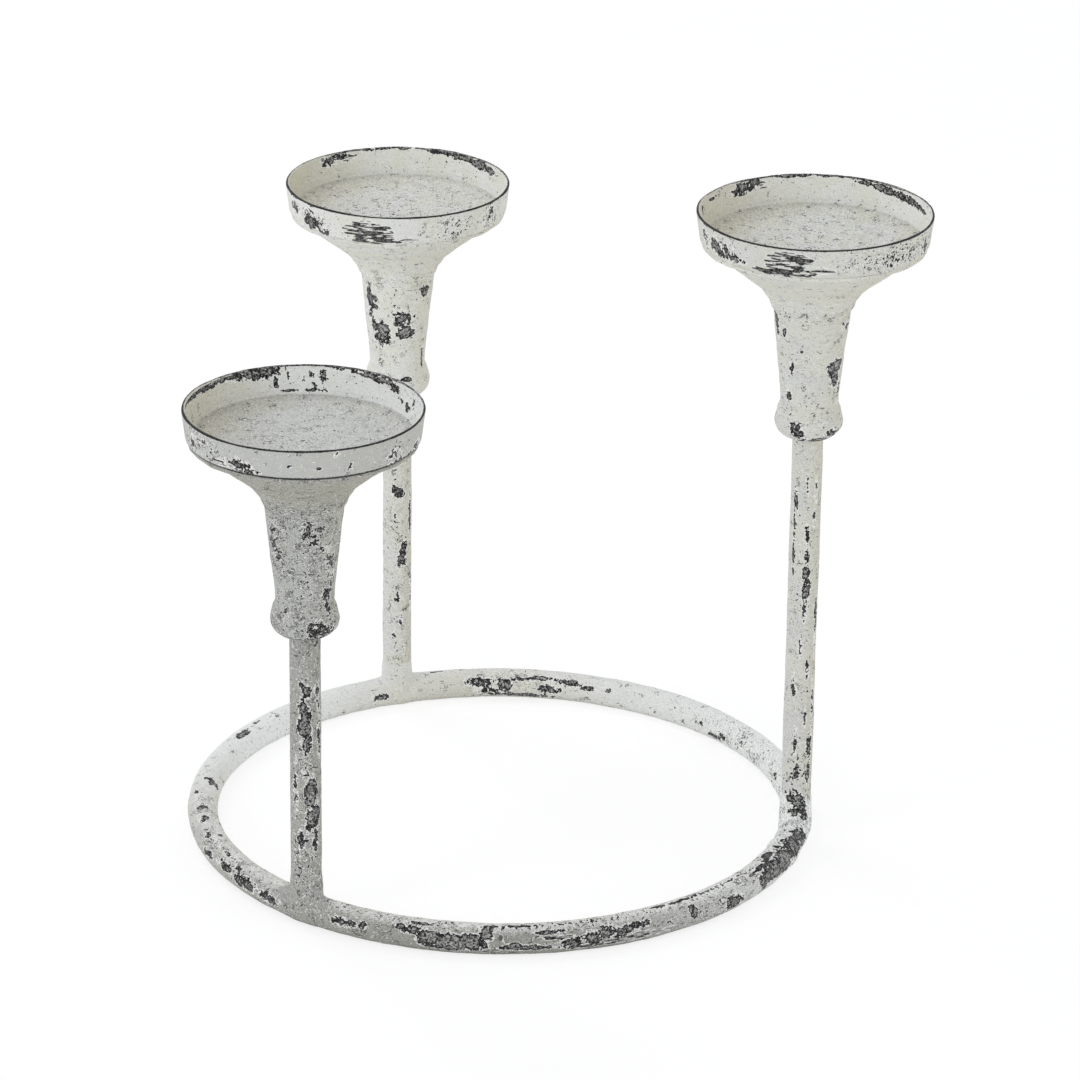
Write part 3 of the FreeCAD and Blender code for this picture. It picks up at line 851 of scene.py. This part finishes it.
def ring_wear_and_painted_light(piece, on_seam=False):
    """Keeps the ring's wear and painted light and shade, and where each point would lie if its bar
    were straight.
    """
    places = [about_bar(point.co) for point in piece.data.vertices]
    for name, strength in RING_WEAR_AND_PAINTED_LIGHT.items():
        keep_attribute(piece, name, [strength(*place) for place in places])
    straight = []
    for point, (bearing, _) in zip(piece.data.vertices, places):
        from_seam = bearing - SEAM_ANGLE
        from_seam = round_the_turn(from_seam) if on_seam else from_seam % 360
        outwards = math.hypot(point.co.x, point.co.y) - RING_RADIUS * MM
        straight.extend((outwards, from_seam * math.radians(RING_RADIUS) * MM, point.co.z))
    along = piece.data.attributes.new("along_bar", "FLOAT_VECTOR", "POINT")
    along.data.foreach_set("vector", straight)


def foot_wear_and_painted_light(piece, holder):
    """The ring's wear and painted light and shade; above its bar the post's wear, and over a rise
    the post's painted shade.
    """
    ring_wear_and_painted_light(piece)
    angle, rim = HOLDERS[holder]
    centre = on_ring(angle)
    points = piece.data.vertices
    for name, table in (("worn", WORN_POST), ("flecked", FLECKED_POST)):
        for point, kept in zip(points, piece.data.attributes[name].data):
            if point.co.z > FOOT_TAKES_WEAR * MM:
                kept.value = found_on(table, holder, *about_axis(point.co, centre, rim))
    for point, kept in zip(points, piece.data.attributes["painted_shade"].data):
        share = rising(point.co.z / MM, FOOT_TAKES_SHADE, FOOT_SHADE_RISE)
        kept.value += (PAINTED_SHADE["post"][holder] - kept.value) * share


# Materials

# Tones of the paint, from the cool one of each pair to the one that lies over it in blotches
SHADED_COOL = (0.74, 0.755, 0.74, 1)
SHADED_GREY = (0.64, 0.65, 0.62, 1)
BRIGHT = (0.89, 0.895, 0.875, 1)
CREAM = (0.86, 0.865, 0.785, 1)
PALE = (0.82, 0.825, 0.80, 1)
WHITE = (0.87, 0.875, 0.835, 1)
CLEAR = (0.89, 0.905, 0.895, 1)
DULL = (0.86, 0.87, 0.835, 1)
# The short holder's sleeve, post and foot take the darker pair, as painted shade
HOLDER_TONES = {"short": (SHADED_COOL, SHADED_GREY), "medium": (BRIGHT, CREAM), "tall": (PALE, CREAM)}
PAN_TONES = {"short": (CLEAR, DULL), "medium": (BRIGHT, CREAM), "tall": (BRIGHT, CREAM)}

# Painted light and shade: warm shade, shade, the ring's highlight, the emboss's shade and
# highlight, the highlight on ridges and chips' lips, and the shade in creases, which the dark
# specks share
PAINTED_WARM_SHADE = (0.68, 0.64, 0.50, 1)
PAINTED_SHADE_GREY = (0.36, 0.36, 0.33, 1)
RING_HIGHLIGHT = (0.95, 0.965, 0.96, 1)
EMBOSS_SHADE = (0.82, 0.82, 0.815, 1)
EMBOSS_HIGHLIGHT = (1.14, 1.14, 1.14, 1)
RIDGE_AND_LIP_HIGHLIGHT = (0.97, 0.97, 0.95, 1)
CREASE_SHADE_AND_SPECK = (0.08, 0.08, 0.07, 1)

# The bare iron, its pits and scrapes, and the line along the paint's edge
IRON_DARK = (0.165, 0.165, 0.167, 1)
IRON_LIGHT = (0.29, 0.288, 0.28, 1)
IRON_PIT = (0.02, 0.02, 0.021, 1)
IRON_SCRAPE = (0.5, 0.5, 0.48, 1)
IRON_EDGE = (0.006, 0.006, 0.007, 1)

# How the grain of the skin is stretched along the three axes
ACROSS_GRAIN = (1.0, 1.0, 1.5)
UPRIGHT_GRAIN = (1.2, 1.2, 0.7)
BAR_GRAIN = (1.1, 0.8, 1.1)
EVEN_GRAIN = (1.0, 1.0, 1.2)
STREAK_GRAIN = (1.0, 1.0, 8.0)
STROKE_GRAIN = (1.0, 1.0, 2.6)

# How the shaders answer the light
PAINT_SPECULAR = 0.2
PAINT_ROUGHNESS = 0.74
IRON_ROUGHNESS = 0.5
IRON_METALLIC = 0.25
BEAD_METALLIC = 0.6
PAINT_THICKNESS = 0.16
IRON_RELIEF = 0.05
BEAD_RELIEF = 0.3

# A place's strength passes these limits on its way from whole paint to bare iron: the paint's
# lip rises and ends, the paint gives way, the black line inside the edge fades, and a place
# worn hardest is black all over. Streaks and flecks stay below two of them, so they are black.
LIP_RISES = (0.22, 0.33)
LIP_ENDS = (0.46, 0.49)
PAINT_GIVES_WAY = (0.485, 0.52)
EDGE_FADES = (0.7, 0.98)
ALL_BLACK = (1.9, 2.3)
STREAKED_AT_MOST = 0.83
FLECKED_AT_MOST = 0.72

NUMBER = "NodeSocketFloat"
VECTOR = "NodeSocketVector"
COLOUR = "NodeSocketColor"


def add(tree, kind, **settings):
    """A node with its settings."""
    node = tree.nodes.new(kind)
    for key, value in settings.items():
        setattr(node, key, value)
    return node


def feed(tree, socket, source):
    """Links a socket to a source, or sets its value."""
    if isinstance(source, bpy.types.NodeSocket):
        tree.links.new(source, socket)
    else:
        socket.default_value = source


def calculate(tree, operation, first, second=0.0, third=0.0):
    """The result of a sum on two or three numbers."""
    node = add(tree, "ShaderNodeMath", operation=operation)
    for socket, source in zip(node.inputs, (first, second, third)):
        feed(tree, socket, source)
    return node.outputs[0]


def on_vectors(tree, operation, first, second):
    """The result of a sum on two vectors."""
    node = add(tree, "ShaderNodeVectorMath", operation=operation)
    feed(tree, node.inputs[0], first)
    feed(tree, node.inputs[1], second)
    return node.outputs[0]


def noise(tree, place, across, detail=3.0, roughness=0.55, distortion=0.0):
    """Noise whose blotches are about as many millimetres across as given."""
    node = add(tree, "ShaderNodeTexNoise")
    feed(tree, node.inputs["Vector"], place)
    feed(tree, node.inputs["Scale"], 1 / (across * MM))
    feed(tree, node.inputs["Detail"], detail)
    feed(tree, node.inputs["Roughness"], roughness)
    feed(tree, node.inputs["Distortion"], distortion)
    return node.outputs["Fac"]


def swing(tree, place, across, *character):
    """The same noise, swinging about 0."""
    return calculate(tree, "SUBTRACT", noise(tree, place, across, *character), 0.5)


def ramp(tree, source, low, high, to_low=0.0, to_high=1.0):
    """Smoothly maps a value between two limits."""
    node = add(tree, "ShaderNodeMapRange", interpolation_type="SMOOTHSTEP")
    names = ("Value", "From Min", "From Max", "To Min", "To Max")
    for name, value in zip(names, (source, low, high, to_low, to_high)):
        feed(tree, node.inputs[name], value)
    return node.outputs[0]


def mixed(tree, share, first, second, blend="MIX"):
    """Two colours mixed; a mix node has its colour sockets after those for numbers and vectors."""
    node = add(tree, "ShaderNodeMix", data_type="RGBA", blend_type=blend)
    feed(tree, node.inputs["Factor"], share)
    feed(tree, node.inputs[6], first)
    feed(tree, node.inputs[7], second)
    return node.outputs[2]


def new_group(name, inputs, outputs):
    """A shader group with named sockets, and its input and output nodes."""
    group = bpy.data.node_groups.new(name, "ShaderNodeTree")
    for label, kind, value in inputs:
        socket = group.interface.new_socket(label, in_out="INPUT", socket_type=kind)
        if value is not None:
            socket.default_value = value
    for label, kind in outputs:
        group.interface.new_socket(label, in_out="OUTPUT", socket_type=kind)
    given = add(group, "NodeGroupInput").outputs
    return group, given, add(group, "NodeGroupOutput").inputs


def chipping_group():
    """Where the paint is gone: chips with ragged edges, streaks and flecks."""
    tree, given, put = new_group(
        "chipped paint",
        [("Place", VECTOR, None), ("Worn", NUMBER, 0.0), ("Streaked", NUMBER, 0.0),
         ("Flecked", NUMBER, 0.0), ("Crumbled", NUMBER, 1.0)],
        [("Bare", NUMBER), ("Edge", NUMBER), ("Lip", NUMBER)],
    )
    place = given["Place"]
    # chips: the place's strength, made ragged by broad swings and fine teeth
    wander = swing(tree, place, 3.2, 4.0, 0.62, 0.3)
    tooth = swing(tree, place, 1.0, 2.0, 0.6, 0.6)
    ragged = calculate(
        tree, "MULTIPLY_ADD", tooth, given["Crumbled"], calculate(tree, "MULTIPLY", wander, 2.1))
    begun = ramp(tree, given["Worn"], 0.0, 0.35)
    worn = calculate(tree, "MULTIPLY_ADD", ragged, begun, given["Worn"])
    # streaks: long level strokes
    stroke = swing(tree, on_vectors(tree, "MULTIPLY", place, STREAK_GRAIN), 5.0, 2.0, 0.5)
    strokes = calculate(
        tree, "MULTIPLY", stroke, ramp(tree, given["Streaked"], 0.1, 0.5, 0.0, 6.0))
    streaked = calculate(tree, "ADD", strokes, calculate(tree, "MINIMUM", given["Streaked"], 0.92))
    # flecks: small spots that gather in clusters
    cluster = swing(tree, place, 7.0, 2.0)
    spot = noise(tree, place, 0.9, 2.0, 0.5)
    flecked = calculate(
        tree, "MULTIPLY_ADD", given["Flecked"], 0.16,
        calculate(tree, "MULTIPLY_ADD", cluster, 0.26, spot))
    flecked = calculate(tree, "MULTIPLY_ADD", flecked, 4.0, -2.42)
    thin = calculate(
        tree, "MAXIMUM", calculate(tree, "MINIMUM", streaked, STREAKED_AT_MOST),
        calculate(tree, "MINIMUM", flecked, FLECKED_AT_MOST))
    total = calculate(tree, "MAXIMUM", worn, thin)
    feed(tree, put["Bare"], ramp(tree, total, *PAINT_GIVES_WAY))
    inner = ramp(tree, total, *EDGE_FADES, 1.0, 0.0)
    edge = calculate(tree, "MAXIMUM", inner, ramp(tree, total, *ALL_BLACK))
    feed(tree, put["Edge"], edge)
    lip_end = ramp(tree, total, *LIP_ENDS, 1.0, 0.0)
    feed(tree, put["Lip"], calculate(tree, "MULTIPLY", ramp(tree, total, *LIP_RISES), lip_end))
    return tree


def wrinkle_group():
    """The skin of the paint: swells, brush marks, fine creases with raised edges, and specks, with
    painted shade in the creases and brush marks, painted highlights beside them and beside the
    specks, and a painted emboss.
    """
    tree, given, put = new_group(
        "wrinkled skin",
        [("Place", VECTOR, None), ("Stretch", VECTOR, (1.0, 1.0, 1.0)),
         ("Creased", NUMBER, 0.5), ("Brushed", NUMBER, 0.0)],
        [("Height", NUMBER), ("Crease shade and specks", NUMBER), ("Ridge highlight", NUMBER), ("Painted emboss", NUMBER),
         ("Blotch", NUMBER)],
    )
    place = on_vectors(tree, "MULTIPLY", given["Place"], given["Stretch"])
    aside = on_vectors(tree, "ADD", place, size(0.24, -0.16, 0.3))
    above = on_vectors(tree, "ADD", place, size(0.0, 0.0, 0.36))
    # creases: contour lines of a swinging noise, kept in patches, painted as shade, each with a
    # ridge beside it painted as a highlight
    patch = calculate(
        tree, "MULTIPLY_ADD", given["Creased"], 0.24, noise(tree, given["Place"], 3.6, 2.0))
    kept = ramp(tree, patch, 0.62, 0.7)
    slope = swing(tree, place, 2.6, 1.0, 0.5, 1.8)
    line = ramp(tree, calculate(tree, "ABSOLUTE", slope), 0.024, 0.042, 1.0, 0.0)
    beside = calculate(tree, "ABSOLUTE", calculate(tree, "ADD", slope, -0.08))
    beside = ramp(tree, beside, 0.014, 0.038, 1.0, 0.0)
    # brush marks and specks: the peaks of a noise, dark, with the same peaks moved a little, light;
    # the dark in the brush marks is painted shade, and the light beside both is a painted highlight
    rough = calculate(tree, "MULTIPLY", given["Creased"], 0.06)
    brushed = ramp(tree, noise(tree, given["Place"], 6.0, 2.0), 0.38, 0.62)
    brushed = calculate(tree, "MULTIPLY", given["Brushed"], brushed)
    more = calculate(tree, "MULTIPLY_ADD", brushed, 0.09, rough)


    def peaks(fine_noise, added, low, high):
        return ramp(tree, calculate(tree, "ADD", fine_noise, added), low, high)

    def level_strokes(at):
        return noise(tree, on_vectors(tree, "MULTIPLY", at, STROKE_GRAIN), 2.2, 1.0, 0.5, 1.6)

    stroke = peaks(level_strokes(place), more, 0.77, 0.8)
    beside_stroke = peaks(level_strokes(above), more, 0.75, 0.78)
    speck = peaks(noise(tree, place, 0.8, 1.0), rough, 0.73, 0.75)
    beside_speck = peaks(noise(tree, aside, 0.8, 1.0), rough, 0.72, 0.74)
    crease = calculate(tree, "MAXIMUM", calculate(tree, "MULTIPLY", line, kept), stroke)
    ridge = calculate(tree, "MAXIMUM", calculate(tree, "MULTIPLY", beside, kept), beside_stroke)
    feed(tree, put["Crease shade and specks"], calculate(tree, "MAXIMUM", crease, speck))
    feed(tree, put["Ridge highlight"], calculate(tree, "MAXIMUM", ridge, beside_speck))
    # painted emboss: a fine noise lit from the side, painted as light and shade
    fine = noise(tree, place, 0.8, 1.0, 0.6, 0.4)
    slant = calculate(tree, "SUBTRACT", fine, noise(tree, aside, 0.8, 1.0, 0.6, 0.4))
    slant = ramp(tree, slant, -0.12, 0.12, -0.5, 0.5)
    even = ramp(tree, given["Creased"], 0.0, 0.5, 0.25, 1.0)
    feed(tree, put["Painted emboss"], calculate(tree, "MULTIPLY_ADD", slant, even, 0.5))
    # height: the swells and the fine noise, lower in the creases and higher on their ridges
    swell = noise(tree, place, 3.0, 2.0, 0.5, 0.8)
    height = calculate(tree, "MULTIPLY_ADD", fine, 0.3, calculate(tree, "MULTIPLY", swell, 1.8))
    height = calculate(tree, "MULTIPLY_ADD", crease, -0.2, height)
    feed(tree, put["Height"], calculate(tree, "MULTIPLY_ADD", ridge, 0.12, height))
    feed(tree, put["Blotch"], ramp(tree, noise(tree, given["Place"], 9.0, 3.0, 0.6), 0.36, 0.64))
    return tree


def iron_group():
    """The dark iron under the paint, pitted, with a black line along the paint's edge."""
    tree, given, put = new_group(
        "bare iron",
        [("Place", VECTOR, None), ("Edge", NUMBER, 0.0)],
        [("Color", COLOUR), ("Height", NUMBER)],
    )
    pits = noise(tree, given["Place"], 0.75, 1.0, 0.6, 0.8)
    cloud = noise(tree, given["Place"], 5.0, 2.0)
    grey = mixed(tree, ramp(tree, cloud, 0.35, 0.65), IRON_DARK, IRON_LIGHT)
    grey = mixed(tree, ramp(tree, pits, 0.41, 0.49, 0.95, 0.0), grey, IRON_PIT)
    grey = mixed(tree, ramp(tree, pits, 0.53, 0.61, 0.0, 0.8), grey, IRON_SCRAPE)
    edged = calculate(tree, "MULTIPLY", given["Edge"], 0.95)
    feed(tree, put["Color"], mixed(tree, edged, grey, IRON_EDGE))
    feed(tree, put["Height"], pits)
    return tree


CHIPPED = chipping_group()
WRINKLED = wrinkle_group()
IRON = iron_group()


def use(tree, group, **inputs):
    """The outputs of a group that is given its inputs by name."""
    node = add(tree, "ShaderNodeGroup", node_tree=group)
    for name, source in inputs.items():
        feed(tree, node.inputs[name], source)
    return node.outputs


def attribute(tree, name):
    """What a piece keeps for its points under a name, or 0 where it keeps nothing."""
    return add(tree, "ShaderNodeAttribute", attribute_type="GEOMETRY", attribute_name=name).outputs


def new_material(name):
    """An empty material with its tree, its shader and the place on the piece."""
    material = bpy.data.materials.new(name)
    material.use_nodes = True
    tree = material.node_tree
    place = add(tree, "ShaderNodeTexCoord").outputs["Object"]
    return material, tree, tree.nodes["Principled BSDF"].inputs, place


def bumped(tree, shader, height, millimetres):
    """Raises a shader's surface by a height, through its normal."""
    bump = add(tree, "ShaderNodeBump")
    feed(tree, bump.inputs["Height"], height)
    feed(tree, bump.inputs["Distance"], MM * millimetres)
    feed(tree, shader["Normal"], bump.outputs[0])


def distressed_paint(name, cool, warm, crumbled, brushed, stretch, relief, on_bar=False):
    """White paint worn through to dark iron, with light and shade painted on it, in one piece's own
    values.
    """
    material, tree, shader, place = new_material(name)
    if on_bar:
        place = attribute(tree, "along_bar")["Vector"]
    kept = {kind: attribute(tree, kind)["Fac"] for kind in (
        "worn", "streaked", "flecked", "creased", "warm_shade", "painted_shade", "painted_highlight")}
    chips = use(tree, CHIPPED, Place=place, Worn=kept["worn"], Streaked=kept["streaked"],
                Flecked=kept["flecked"], Crumbled=crumbled)
    skin = use(
        tree, WRINKLED, Place=place, Stretch=stretch, Creased=kept["creased"], Brushed=brushed)
    iron = use(tree, IRON, Place=place, Edge=chips["Edge"])
    paint = mixed(tree, skin["Blotch"], cool, warm)
    # Painted warm shade, painted shade and the ring's painted highlight
    paint = mixed(tree, kept["warm_shade"], paint, PAINTED_WARM_SHADE)
    paint = mixed(tree, kept["painted_shade"], paint, PAINTED_SHADE_GREY)
    paint = mixed(tree, kept["painted_highlight"], paint, RING_HIGHLIGHT)
    # Painted light and shade: the emboss, the highlight on ridges, the shade in creases with the
    # dark specks, and a highlight on the chips' lips
    emboss_tone = mixed(tree, skin["Painted emboss"], EMBOSS_SHADE, EMBOSS_HIGHLIGHT)
    paint = mixed(tree, 1.0, paint, emboss_tone, "MULTIPLY")
    paint = mixed(tree, calculate(tree, "MULTIPLY", skin["Ridge highlight"], 0.62), paint, RIDGE_AND_LIP_HIGHLIGHT)
    paint = mixed(tree, calculate(tree, "MULTIPLY", skin["Crease shade and specks"], 0.85), paint, CREASE_SHADE_AND_SPECK)
    paint = mixed(tree, calculate(tree, "MULTIPLY", chips["Lip"], 0.85), paint, RIDGE_AND_LIP_HIGHLIGHT)
    bare = chips["Bare"]
    feed(tree, shader["Base Color"], mixed(tree, bare, paint, iron["Color"]))
    feed(tree, shader["Roughness"], ramp(tree, bare, 0.0, 1.0, PAINT_ROUGHNESS, IRON_ROUGHNESS))
    feed(tree, shader["Metallic"], calculate(tree, "MULTIPLY", bare, IRON_METALLIC))
    feed(tree, shader["Specular IOR Level"], PAINT_SPECULAR)
    painted = calculate(tree, "MULTIPLY_ADD", skin["Height"], relief, PAINT_THICKNESS)
    painted = calculate(tree, "MULTIPLY", painted, calculate(tree, "SUBTRACT", 1.0, bare))
    pitted = calculate(tree, "MULTIPLY", iron["Height"], IRON_RELIEF)
    bumped(tree, shader, calculate(tree, "MULTIPLY_ADD", pitted, bare, painted), 1.0)
    return material


def weld_bead():
    """Heat-darkened weld metal for the welds hidden in the sleeves."""
    material, tree, shader, place = new_material("weld bead")
    iron = use(tree, IRON, Place=place, Edge=ramp(tree, noise(tree, place, 2.0), 0.5, 0.6))
    feed(tree, shader["Base Color"], iron["Color"])
    feed(tree, shader["Metallic"], BEAD_METALLIC)
    feed(tree, shader["Roughness"], ramp(tree, noise(tree, place, 1.2), 0.3, 0.7, 0.45, 0.7))
    bumped(tree, shader, iron["Height"], BEAD_RELIEF)
    return material


# The pieces

def finish_piece(piece, node, material):
    """Size, shading, material, body and the node that the piece stands for."""
    kept_in_box(piece)
    smooth_shaded(piece)
    piece.data.materials.clear()
    piece.data.materials.append(material)
    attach(piece, "root")
    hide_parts(node)


def make_turned(kind, pattern, wear, paints):
    """A copy of a pan's or a sleeve's pattern for each holder, with lumps, wear and painted light
    and shade of its own.
    """
    for holder, (angle, rim) in HOLDERS.items():
        piece = moved(copied(pattern, f"{holder}_{kind}"), *on_ring(angle), rim, angle)
        hammered(piece, kind)
        turned_wear_and_painted_light(piece, holder, wear)
        finish_piece(piece, f"{kind}_{holder}", paints[f"{kind}_{holder}"])
    bpy.data.objects.remove(pattern)


def make_posts(paints):
    """The three posts, each of its own length, from inside the foot to the pan's underside."""
    foot = BAR_MIDDLE + POST_START
    for holder, (angle, rim) in HOLDERS.items():
        top = rim - PAN_UNDERSIDE
        corners = [(0.0, foot, 0), (BAR_RADIUS, foot, 0), (BAR_RADIUS, top, 0), (0.0, top, 0)]
        piece = turned_piece(f"{holder}_post", corners, POST_ROW, BAR_SIDES)
        moved(piece, *on_ring(angle), 0, angle)
        hammered(piece, "post")
        turned_wear_and_painted_light(piece, holder, POST_WEAR_AND_PAINTED_LIGHT)
        finish_piece(piece, f"post_{holder}", paints[f"post_{holder}"])


def make_ring(paint):
    """The hoop: a circle of the bar's size spun round, laid flat on the table."""
    bpy.ops.object.select_all(action="DESELECT")
    bpy.ops.mesh.primitive_circle_add(
        vertices=BAR_SIDES, radius=BAR_RADIUS * MM,
        location=size(RING_RADIUS, 0, BAR_MIDDLE), rotation=(QUARTER_TURN, 0, 0))
    piece = bpy.context.object
    piece.name = "ring_hoop"
    settled()
    spin_round(piece, RING_STEPS)
    apply_modifier(piece, "SUBSURF", levels=1, render_levels=1)
    hammered(piece, "ring")
    flattened(piece, 0.0)
    ring_wear_and_painted_light(piece)
    finish_piece(piece, "base_ring", paint)


def make_seam_ridge(paint):
    """The butt weld's low ridge across the bar, spun about the bar and laid in place."""
    piece = laid_down(turned_piece("seam_ridge", SEAM_OUTLINE, SEAM_ROW, BAR_SIDES))
    moved(piece, *on_ring(SEAM_ANGLE), BAR_MIDDLE, SEAM_ANGLE)
    hammered(piece, "seam")
    flattened(piece, WELD_CLEARANCE)
    ring_wear_and_painted_light(piece, on_seam=True)
    finish_piece(piece, "ring_seam_weld", paint)


def make_feet(paints):
    """The foot welds: a swelling on the bar and a stub of the post, grown together and smoothed."""
    pattern = laid_down(turned_piece("foot_barrel", FOOT_BARREL_OUTLINE, FOOT_ROW, FOOT_STEPS))
    moved(pattern, RING_RADIUS, 0, BAR_MIDDLE + FOOT_RAISED)
    stub = turned_piece("foot_stub", FOOT_STUB_OUTLINE, FOOT_ROW, FOOT_STEPS)
    moved(stub, RING_RADIUS, 0, 0)
    pick(pattern, stub)
    bpy.ops.object.join()
    pattern.data.remesh_voxel_size = FOOT_VOXEL * MM
    bpy.ops.object.voxel_remesh()
    apply_modifier(pattern, "SMOOTH", **FOOT_SMOOTHING)
    for holder, (angle, _) in HOLDERS.items():
        piece = moved(copied(pattern, f"{holder}_foot"), 0, 0, 0, angle)
        hammered(piece, "foot")
        flattened(piece, WELD_CLEARANCE)
        foot_wear_and_painted_light(piece, holder)
        finish_piece(piece, f"foot_weld_{holder}", paints[f"post_{holder}"])
    bpy.data.objects.remove(pattern)


# Each piece's paint: two tones that lie in blotches, how crumbled its chips are, how brushed
# its skin is, the grain's stretch along the axes, and how high its relief stands

paints = {}
for holder, (cool, warm) in HOLDER_TONES.items():
    pan_cool, pan_warm = PAN_TONES[holder]
    crumbled = 2.4 if holder == "short" else 1.4
    for kind, values in {
        "pan": (pan_cool, pan_warm, 1.5, 0.0, EVEN_GRAIN, 0.3),
        "sleeve": (cool, warm, crumbled, 1.0, ACROSS_GRAIN, 0.5),
        "post": (cool, warm, 1.4, 0.3, UPRIGHT_GRAIN, 0.35),
    }.items():
        paints[f"{kind}_{holder}"] = distressed_paint(f"paint on the {holder} {kind}", *values)
ring_paint = distressed_paint(
    "paint on the ring", PALE, WHITE, 1.4, 0.3, BAR_GRAIN, 0.4, on_bar=True)

pan_pattern = turned_piece("pan_pattern", PAN_OUTLINE, PAN_ROW, PAN_STEPS)
make_turned("pan", pan_pattern, PAN_WEAR_AND_PAINTED_LIGHT, paints)
sleeve_pattern = turned_piece("sleeve_pattern", SLEEVE_OUTLINE, SLEEVE_ROW, SLEEVE_STEPS)
make_turned("sleeve", sleeve_pattern, SLEEVE_WEAR_AND_PAINTED_LIGHT, paints)
make_posts(paints)
make_ring(ring_paint)
make_seam_ridge(ring_paint)
make_feet(paints)

# The welds hidden in the sleeves stay as they are in CAD, and only take a material
bead = weld_bead()
for holder in HOLDERS:
    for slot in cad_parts[f"pan_weld_{holder}"].material_slots:
        slot.material = bead


# The studio: a white floor and backdrop, a broad light above and behind on the left, and soft
# fill from the front and the right. What sees the floor or the backdrop directly gets it plain
# and white, and the holder is lit by a dimmer one.

FLOOR_WIDTH = 12.0
FLOOR_CUTS = 8
FLOOR_WHITE = (0.93, 0.93, 0.91, 1)
FLOOR_ROUGHNESS = 0.9
FLOOR_SHADOWED = (0.3, 0.3, 0.3, 1)
FLOOR_GLOW = 0.76
BACKDROP_LIGHT = (0.97, 0.98, 1.0, 1)
BACKDROP_DIM = 0.69
BACKDROP_WHITE = 1.0
LIGHTS_AIM = (0, 0, 0.1)
# Each light's place and width in metres, and its power in watts
LIGHTS = {
    "key_light": ((-0.9, 0.7, 1.6), 0.7, 4.0),
    "front_light": ((-1.3, -1.5, 0.8), 0.7, 6.5),
    "side_light": ((1.6, -0.4, 0.4), 0.9, 3.0),
}


def seen_directly(tree):
    """1 where the camera sees the surface itself, in a reflection or through glass."""
    ray = add(tree, "ShaderNodeLightPath").outputs
    direct = calculate(tree, "MAXIMUM", ray["Is Camera Ray"], ray["Is Glossy Ray"])
    return calculate(tree, "MAXIMUM", direct, ray["Is Transmission Ray"])


def one_to_light_one_to_see(tree, lighting, seen, output):
    """Sends out one shader for the light that falls on the holder and another to be seen."""
    choice = add(tree, "ShaderNodeMixShader")
    feed(tree, choice.inputs["Fac"], seen_directly(tree))
    feed(tree, choice.inputs[1], lighting.outputs[0])
    feed(tree, choice.inputs[2], seen.outputs[0])
    feed(tree, tree.nodes[output].inputs["Surface"], choice.outputs[0])


def make_floor():
    """A wide white floor that still takes the holder's shadow."""
    bpy.ops.object.select_all(action="DESELECT")
    bpy.ops.mesh.primitive_plane_add(size=FLOOR_WIDTH, location=(0, 0, 0))
    floor = bpy.context.object
    floor.name = "studio_floor"
    bpy.ops.object.mode_set(mode="EDIT")
    bpy.ops.mesh.subdivide(number_cuts=FLOOR_CUTS)
    done()
    material = bpy.data.materials.new("white floor")
    material.use_nodes = True
    tree = material.node_tree
    plain = tree.nodes["Principled BSDF"]
    plain.inputs["Base Color"].default_value = FLOOR_WHITE
    plain.inputs["Roughness"].default_value = FLOOR_ROUGHNESS
    shadowed = add(tree, "ShaderNodeBsdfDiffuse")
    shadowed.inputs["Color"].default_value = FLOOR_SHADOWED
    glow = add(tree, "ShaderNodeEmission")
    glow.inputs["Strength"].default_value = FLOOR_GLOW
    both = add(tree, "ShaderNodeAddShader")
    feed(tree, both.inputs[0], shadowed.outputs[0])
    feed(tree, both.inputs[1], glow.outputs[0])
    one_to_light_one_to_see(tree, plain, both, "Material Output")
    floor.data.materials.append(material)
    return floor


def make_backdrop():
    """A white world behind the floor."""
    world = bpy.data.worlds.new("studio")
    bpy.context.scene.world = world
    world.use_nodes = True
    tree = world.node_tree
    dim = tree.nodes["Background"]
    dim.inputs["Color"].default_value = BACKDROP_LIGHT
    dim.inputs["Strength"].default_value = BACKDROP_DIM
    white = add(tree, "ShaderNodeBackground")
    white.inputs["Strength"].default_value = BACKDROP_WHITE
    one_to_light_one_to_see(tree, dim, white, "World Output")


def soft_light(name, place, width, power):
    """A square area light that looks at the holder's middle."""
    bpy.ops.object.light_add(type="AREA", location=place)
    lamp = bpy.context.object
    lamp.name = name
    lamp.data.size = width
    lamp.data.energy = power
    aim = Vector(LIGHTS_AIM) - Vector(place)
    lamp.rotation_euler = aim.to_track_quat("-Z", "Y").to_euler()


floor = make_floor()
make_backdrop()
for name, (place, width, power) in LIGHTS.items():
    soft_light(name, place, width, power)

# The camera stands where the photograph was taken from, found from the ring's two outlines
CAMERA_PLACE = size(235.375, -1584.576, 769.286)
CAMERA_AHEAD = Vector((-0.12851733, 0.91398911, -0.38484698))
CAMERA_RIGHT = Vector((0.98949186, 0.14410563, 0.01180761))
CAMERA_UP = Vector((-0.06625064, 0.37928548, 0.92290486))
CAMERA_LENS = 175.12
CAMERA_SENSOR = 36.0

bpy.ops.object.camera_add(location=CAMERA_PLACE)
camera = bpy.context.object
turn = Matrix((CAMERA_RIGHT, CAMERA_UP, -CAMERA_AHEAD)).transposed()
camera.rotation_euler = turn.to_euler()
camera.data.lens = CAMERA_LENS
camera.data.sensor_width = CAMERA_SENSOR
bpy.context.scene.camera = camera
bpy.context.scene.view_settings.view_transform = "Standard"
